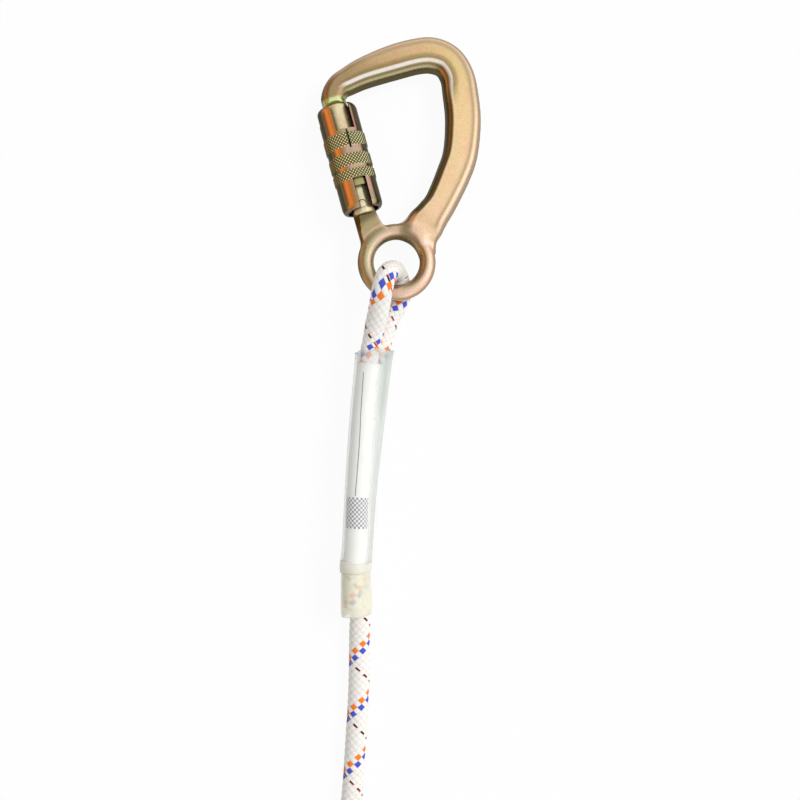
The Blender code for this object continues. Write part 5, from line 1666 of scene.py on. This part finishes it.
def build_tie(path, frame):
    """The strap round the hank and its free end.

    The strap is a rounded rectangle drawn round the strands it holds, carried over its width. Its end is a
    flat sheet on it, thinned towards its rims and its cut end.
    """
    middle_y = HANK_TOP_Y - HANK_RUN / 2
    near = path[np.abs(path[:, 1] - middle_y) < TIE_WIDTH / 2]
    edge = ROPE_R + TIE_GAP
    left, right = near[:, 0].min() - edge, near[:, 0].max() + edge
    low, high = TIE_WALL, near[:, 2].max() + edge
    corner = TIE_CORNER
    centres = np.array([
        (right - corner, high - corner), (left + corner, high - corner),
        (left + corner, low + corner), (right - corner, low + corner),
    ])
    y = middle_y + TIE_WIDTH / 2 - np.array(TIE_ROWS)
    rim = np.array(TIE_RIM)
    outer, inner = (strap_grid(walls, y, centres) for walls in (TIE_WALL - rim, rim * 0.6))
    strap = wall_mesh("strap", outer[:, ::-1], inner[:, ::-1], frame)
    dress(strap, material("strap"), "hank_tie", "rope")
    flap_x = np.linspace(left + FLAP_START, (left + right) / 2 + FLAP_REACH, 24)
    top = high + TIE_WALL + 0.05
    gx, gy = np.meshgrid(flap_x, middle_y + np.array(FLAP_ROWS), indexing="ij")
    lift = np.array(FLAP_LIFT)[None, :] - 0.4 * np.exp(-(flap_x.max() - gx) / 0.8)
    quads, points = sheet(np.stack([gx, gy, top + 0 * gx], axis=-1), np.stack([gx, gy, top + lift], axis=-1))
    flap = mesh_object("strap_end", in_row(points, frame), quads)
    flap.data.materials.append(material("strap"))
    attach(flap, "rope")
    return strap, flap


def build_end_cover(path, frame):
    """The cover on the rope's end: a tube straight on from it, with a small step at its mouth and a rounded end."""
    heading = path[-1] - path[-4]
    heading /= np.linalg.norm(heading)
    start = path[-1] + heading * 0.3
    end = END_SLEEVE_LENGTH
    s = np.concatenate([[0, 0.15, 0.6], np.linspace(1.2, end - 2, 40), [end - 1, end - 0.3, end]])
    mouth = np.interp(s, [0, 0.15, 0.6], [0.4, 0.12, 0.0])
    tip = np.interp(s, [end - 2, end - 1, end - 0.3, end], [0, 0.35, 1.0, 1.6])
    radius = ROPE_R + END_SLEEVE_WALL - mouth - tip
    cover = tube("end_cover", start + heading * s[:, None], radius, 48, frame, True)
    shade_sharp(cover, 50)
    dress(cover, material("black"), "end_sleeve", "rope")
    return cover


def build_tie_and_end():
    """The strap, its free end and the end cover, all kept with the free rope."""
    path = free_path()
    frame = place_frame()
    strap, flap = build_tie(path, frame)
    cover = build_end_cover(path, frame)
    line = in_row(np.vstack([path[::CORD_STEP], path[-1:]]), frame)
    float(arc_length(line).max())


def build_camera():
    """The camera, above the rope and tilted a little."""
    data = bpy.data.cameras.new("camera")
    data.lens = CAMERA_LENS
    data.sensor_width = CAMERA_SENSOR
    data.clip_start = CAMERA_NEAR
    camera = bpy.data.objects.new("camera", data)
    camera.location = CAMERA_AT
    camera.rotation_euler = (CAMERA_TILT, 0.0, 0.0)
    bpy.context.scene.collection.objects.link(camera)
    bpy.context.scene.camera = camera


def seen_rays(t, path):
    """1 for the rays by which the camera, metal or glass sees something, and 0 for those that light it."""
    seen = t.math("MAXIMUM", path.outputs["Is Camera Ray"], path.outputs["Is Transmission Ray"])
    return t.math("MAXIMUM", seen, path.outputs["Is Glossy Ray"])


def add_sun(name, strength, angle, turn):
    """A far, soft lamp, turned about X and Y by degrees."""
    light = bpy.data.lights.new(name, "SUN")
    light.energy = strength
    light.angle = angle
    lamp = bpy.data.objects.new(name, light)
    lamp.rotation_euler = Euler((math.radians(turn[0]), math.radians(turn[1]), 0))
    bpy.context.scene.collection.objects.link(lamp)
    return lamp


def build_world(looks):
    """Plain white light for the object, and white behind it, which metal mirrors with a darker, warm left side."""
    world = bpy.data.worlds.new("studio")
    bpy.context.scene.world = world
    world.use_nodes = True
    t = Tree(world.node_tree)
    background = world.node_tree.nodes["Background"]
    path = t.add("ShaderNodeLightPath")
    direction = t.add("ShaderNodeTexCoord").outputs["Generated"]
    axes = t.add("ShaderNodeSeparateXYZ")
    t.link(direction, axes.inputs[0])
    x = axes.outputs[0]
    sideways = t.plus(t.times(x, 0.5), 0.5)
    sky = t.ramp(sideways, [
        (0.00, (0.16, 0.10, 0.06)), (0.03, (0.86, 0.40, 0.15)), (0.06, (1.00, 0.48, 0.17)), (0.11, (0.66, 0.32, 0.18)),
        (0.18, (0.44, 0.31, 0.23)), (0.28, (0.52, 0.45, 0.38)), (0.40, (0.80, 0.77, 0.71)), (0.48, (0.98, 0.97, 0.94)),
        (0.75, WHITE), (1.00, (1.0, 0.97, 0.94)),
    ])
    shown = seen_rays(t, path)
    colour = t.mix(shown, (looks.world_level,) * 3, WHITE)
    colour = t.mix(path.outputs["Is Glossy Ray"], colour, t.mix(1.0, colour, sky, "MULTIPLY"))
    t.link(colour, background.inputs["Color"])
    background.inputs["Strength"].default_value = 1.0


def build_stage(looks):
    """Floor, lamps and world. The floor is white to the camera and glass, darker warm grey to metal, and keeps the
    shadow.
    """
    build_world(looks)
    size = looks.floor_reach
    corners = np.array([[x * size, y * size, FLOOR_Z] for x, y in ((-1, -1), (1, -1), (1, 1), (-1, 1))])
    floor = mesh_object("floor", corners, [(0, 1, 2, 3)], smooth=False)
    made, tree, shader = new_material("floor_white", tuple(looks.floor), 1.0)
    t = Tree(tree)
    shader.inputs["Specular IOR Level"].default_value = 0.0
    path = t.add("ShaderNodeLightPath")
    seen = seen_rays(t, path)
    glow = t.add("ShaderNodeEmission")
    t.link(t.mix(path.outputs["Is Glossy Ray"], WHITE, (0.50, 0.48, 0.42)), glow.inputs["Color"])
    glow.inputs["Strength"].default_value = 1.0
    mixer = t.add("ShaderNodeMixShader")
    t.link(t.times(seen, FLOOR_GLOW), mixer.inputs[0])
    tree.links.new(shader.outputs[0], mixer.inputs[1])
    tree.links.new(glow.outputs[0], mixer.inputs[2])
    out = next(n for n in tree.nodes if n.bl_idname == "ShaderNodeOutputMaterial")
    tree.links.new(mixer.outputs[0], out.inputs["Surface"])
    floor.data.materials.append(made)
    add_sun("key", looks.key_strength, looks.key_angle, KEY_TURN).visible_glossy = False
    add_sun("shine", looks.shine_strength, looks.shine_angle, SHINE_TURN).visible_diffuse = False


def colour_property(name, description, default):
    """A colour that a user may change."""
    return FloatVectorProperty(
        name=name, description=description, default=default, size=3, min=0.0, max=1.0, subtype="COLOR",
    )


def share_property(name, description, default, low=0.0):
    """A share up to 1 that a user may change."""
    return FloatProperty(name=name, description=description, default=default, min=low, max=1.0, subtype="FACTOR")


def level_property(name, description, default, high):
    """A strength of light that a user may change."""
    return FloatProperty(name=name, description=description, default=default, min=0.0, max=high)


def angle_property(name, description, degrees):
    """An angle up to a right angle that a user may change."""
    return FloatProperty(
        name=name, description=description, default=math.radians(degrees), min=0.0, max=math.radians(90),
        subtype="ANGLE", unit="ROTATION",
    )


def length_property(name, description, default, low, high):
    """A length in metres that a user may change, between two limits."""
    return FloatProperty(
        name=name, description=description, default=default, min=low, max=high, precision=5, subtype="DISTANCE",
        unit="LENGTH",
    )


class RopeLooks(bpy.types.PropertyGroup):
    """Braid of the eye and of the free rope."""

    relief: length_property("Relief", "Height of a strand's crown over the gap beside it", 0.26 * MM, 0.0, 0.4 * MM)
    white: colour_property("White", "Plain strands where they are lightest", srgb(253, 251, 248))
    orange: colour_property("Orange", "First tracer strand", srgb(255, 130, 36))
    blue: colour_property("Blue", "Second tracer strand", srgb(72, 88, 205))
    dark: colour_property("Black Yarn", "Dark yarn of the tracer that runs the other way", srgb(44, 32, 42))
    red: colour_property("Red Yarn", "Red yarn beside the dark one", srgb(244, 88, 70))


class MetalLooks(bpy.types.PropertyGroup):
    """Plated metal of the carabiner, its gate and its sleeve."""

    knurl_depth: length_property("Knurl Depth", "Depth of the sleeve's diamond grooves", 0.44 * MM, 0.0, 0.45 * MM)
    body: colour_property("Body", "Middle tint of the forged body's plating", srgb(255, 218, 170))
    gate: colour_property("Gate", "Middle tint of the gate barrel's plating", srgb(246, 236, 204))
    sleeve: colour_property("Sleeve", "Middle tint of the locking sleeve's plating", srgb(206, 174, 158))
    roughness: share_property("Roughness", "Roughness of the forged body's plating", 0.25, 0.05)


class WrapLooks(bpy.types.PropertyGroup):
    """Shrink tubes, label and seam on the two legs of the eye."""

    thread_width: length_property("Thread Width", "Width of the seam's thread", 0.8 * MM, 0.4 * MM, 0.9 * MM)
    chequer: length_property("Chequer", "Side of the plain chequer on the label", 16.0 * MM, 8.0 * MM, 16.0 * MM)
    clear_cover: share_property("Clear Cover", "How much of the clear tube itself shows", 0.15)
    cream_cover: share_property("Cream Cover", "How much of the lower tube itself shows", 0.37)
    cream: colour_property("Cream", "Lower tube", srgb(255, 253, 232))
    paper: colour_property("Label", "Label's paper", srgb(250, 249, 245))
    ink: colour_property("Ink", "Label's rule and chequer", srgb(72, 74, 104))
    thread: colour_property("Thread", "Seam's thread", srgb(32, 32, 36))


class StrapLooks(bpy.types.PropertyGroup):
    """Strap round the hank and cover on the rope's end."""

    webbing: colour_property("Strap", "Strap round the hank", srgb(34, 34, 38))
    end_cover: colour_property("End Cover", "Shrink cover on the rope's end", srgb(30, 30, 32))


class StageLooks(bpy.types.PropertyGroup):
    """Floor, lamps and surroundings."""

    floor_reach: length_property(
        "Floor Reach", "Distance from the middle to the floor's edge", 4.4 * LONGEST, 0.5, 20.0,
    )
    floor: colour_property("Floor", "Floor where lamps light it", (0.9, 0.9, 0.9))
    world_level: level_property("World", "Level of the light from all round", 0.52, 2.0)
    key_strength: level_property("Key", "Strength of the soft lamp that throws the shadow", 1.98, 10.0)
    key_angle: angle_property("Key Angle", "Width of the soft lamp, which blurs the shadow", 24)
    shine_strength: level_property("Shine", "Strength of the lamp that metal alone mirrors", 0.20, 5.0)
    shine_angle: angle_property("Shine Angle", "Width of the lamp that metal alone mirrors", 44)


class ROPE_OT_forged_body(bpy.types.Operator):
    """Build the carabiner's forged body and its hinge rivet."""

    bl_idname = "rope.forged_body"
    bl_label = "Forged Body"

    def execute(self, context):
        build_body()
        return {"FINISHED"}


class ROPE_OT_gate(bpy.types.Operator):
    """Build the gate's barrel with the collar, ring, springs and pins in it."""

    bl_idname = "rope.gate"
    bl_label = "Gate"

    def execute(self, context):
        build_gate()
        return {"FINISHED"}


class ROPE_OT_sleeve(bpy.types.Operator):
    """Build the knurled locking sleeve and its two bushes."""

    bl_idname = "rope.sleeve"
    bl_label = "Locking Sleeve"

    def execute(self, context):
        build_sleeve()
        return {"FINISHED"}


class ROPE_OT_eye(bpy.types.Operator):
    """Build the braided eye that runs through the ring."""

    bl_idname = "rope.eye"
    bl_label = "Eye"

    def execute(self, context):
        build_eye(context.scene.rope_looks)
        return {"FINISHED"}


class ROPE_OT_tubes(bpy.types.Operator):
    """Build the clear and the cream shrink tube."""

    bl_idname = "rope.tubes"
    bl_label = "Shrink Tubes"

    def execute(self, context):
        build_tubes()
        return {"FINISHED"}


class ROPE_OT_label(bpy.types.Operator):
    """Build the label under the clear tube."""

    bl_idname = "rope.label"
    bl_label = "Label"

    def execute(self, context):
        build_label()
        return {"FINISHED"}


class ROPE_OT_seam(bpy.types.Operator):
    """Build the two rows of stitching that join the legs."""

    bl_idname = "rope.seam"
    bl_label = "Seam"

    def execute(self, context):
        build_seam(context.scene.wrap_looks)
        return {"FINISHED"}


class ROPE_OT_free_rope(bpy.types.Operator):
    """Build the rope from the eye to its far end, laid in a hank."""

    bl_idname = "rope.free_rope"
    bl_label = "Free Rope"

    def execute(self, context):
        build_free_rope(context.scene.rope_looks)
        return {"FINISHED"}


class ROPE_OT_strap_and_end(bpy.types.Operator):
    bl_idname = "rope.strap_and_end"
    bl_label = "Strap and End Cover"

    def execute(self, context):
        if "free_rope" not in bpy.data.objects:
            raise RuntimeError("the free rope comes first")
        build_tie_and_end()
        return {"FINISHED"}


class ROPE_OT_stage(bpy.types.Operator):
    """Set up the camera, floor, lamps and surroundings."""

    bl_idname = "rope.stage"
    bl_label = "Stage"

    def execute(self, context):
        build_camera()
        build_stage(context.scene.stage_looks)
        return {"FINISHED"}


LOOKS = (
    ("rope_looks", RopeLooks), ("metal_looks", MetalLooks), ("wrap_looks", WrapLooks), ("strap_looks", StrapLooks),
    ("stage_looks", StageLooks),
)
PIECES = (
    ("metal_looks", "Carabiner", (ROPE_OT_forged_body, ROPE_OT_gate, ROPE_OT_sleeve)),
    ("rope_looks", "Rope", (ROPE_OT_eye, ROPE_OT_free_rope)),
    ("wrap_looks", "Tubes, Label and Seam", (ROPE_OT_tubes, ROPE_OT_label, ROPE_OT_seam)),
    ("strap_looks", "Strap and End", (ROPE_OT_strap_and_end,)),
    ("stage_looks", "Stage", (ROPE_OT_stage,)),
)


class ROPE_PT_pieces(bpy.types.Panel):
    """Sizes, colours and pieces of the rope and its carabiner."""

    bl_idname = "ROPE_PT_pieces"
    bl_label = "Rope and Carabiner"
    bl_space_type = "VIEW_3D"
    bl_region_type = "UI"
    bl_category = "Rope"

    def draw(self, context):
        """One box for each group: its looks, then its operators."""
        for name, title, operators in PIECES:
            box = self.layout.box()
            box.label(text=title)
            looks = getattr(context.scene, name)
            for key in looks.__annotations__:
                box.prop(looks, key)
            for operator in operators:
                box.operator(operator.bl_idname)


CLASSES = tuple(group for _, group in LOOKS) + tuple(o for *_, group in PIECES for o in group) + (ROPE_PT_pieces,)


def register():
    """Register every class, and keep each group of looks on the scene."""
    for item in CLASSES:
        bpy.utils.register_class(item)
    for name, group in LOOKS:
        setattr(bpy.types.Scene, name, PointerProperty(type=group))


def unregister():
    """Undo register, in the other order."""
    for name, _ in LOOKS:
        delattr(bpy.types.Scene, name)
    for item in reversed(CLASSES):
        bpy.utils.unregister_class(item)


def main():
    register()
    bpy.context.scene.view_settings.view_transform = "Standard"
    bpy.ops.rope.forged_body()
    bpy.ops.rope.gate()
    bpy.ops.rope.sleeve()
    bpy.ops.rope.eye()
    bpy.ops.rope.free_rope()
    bpy.ops.rope.tubes()
    bpy.ops.rope.label()
    bpy.ops.rope.seam()
    bpy.ops.rope.strap_and_end()
    bpy.ops.rope.stage()


if __name__ == "__main__":
    main()
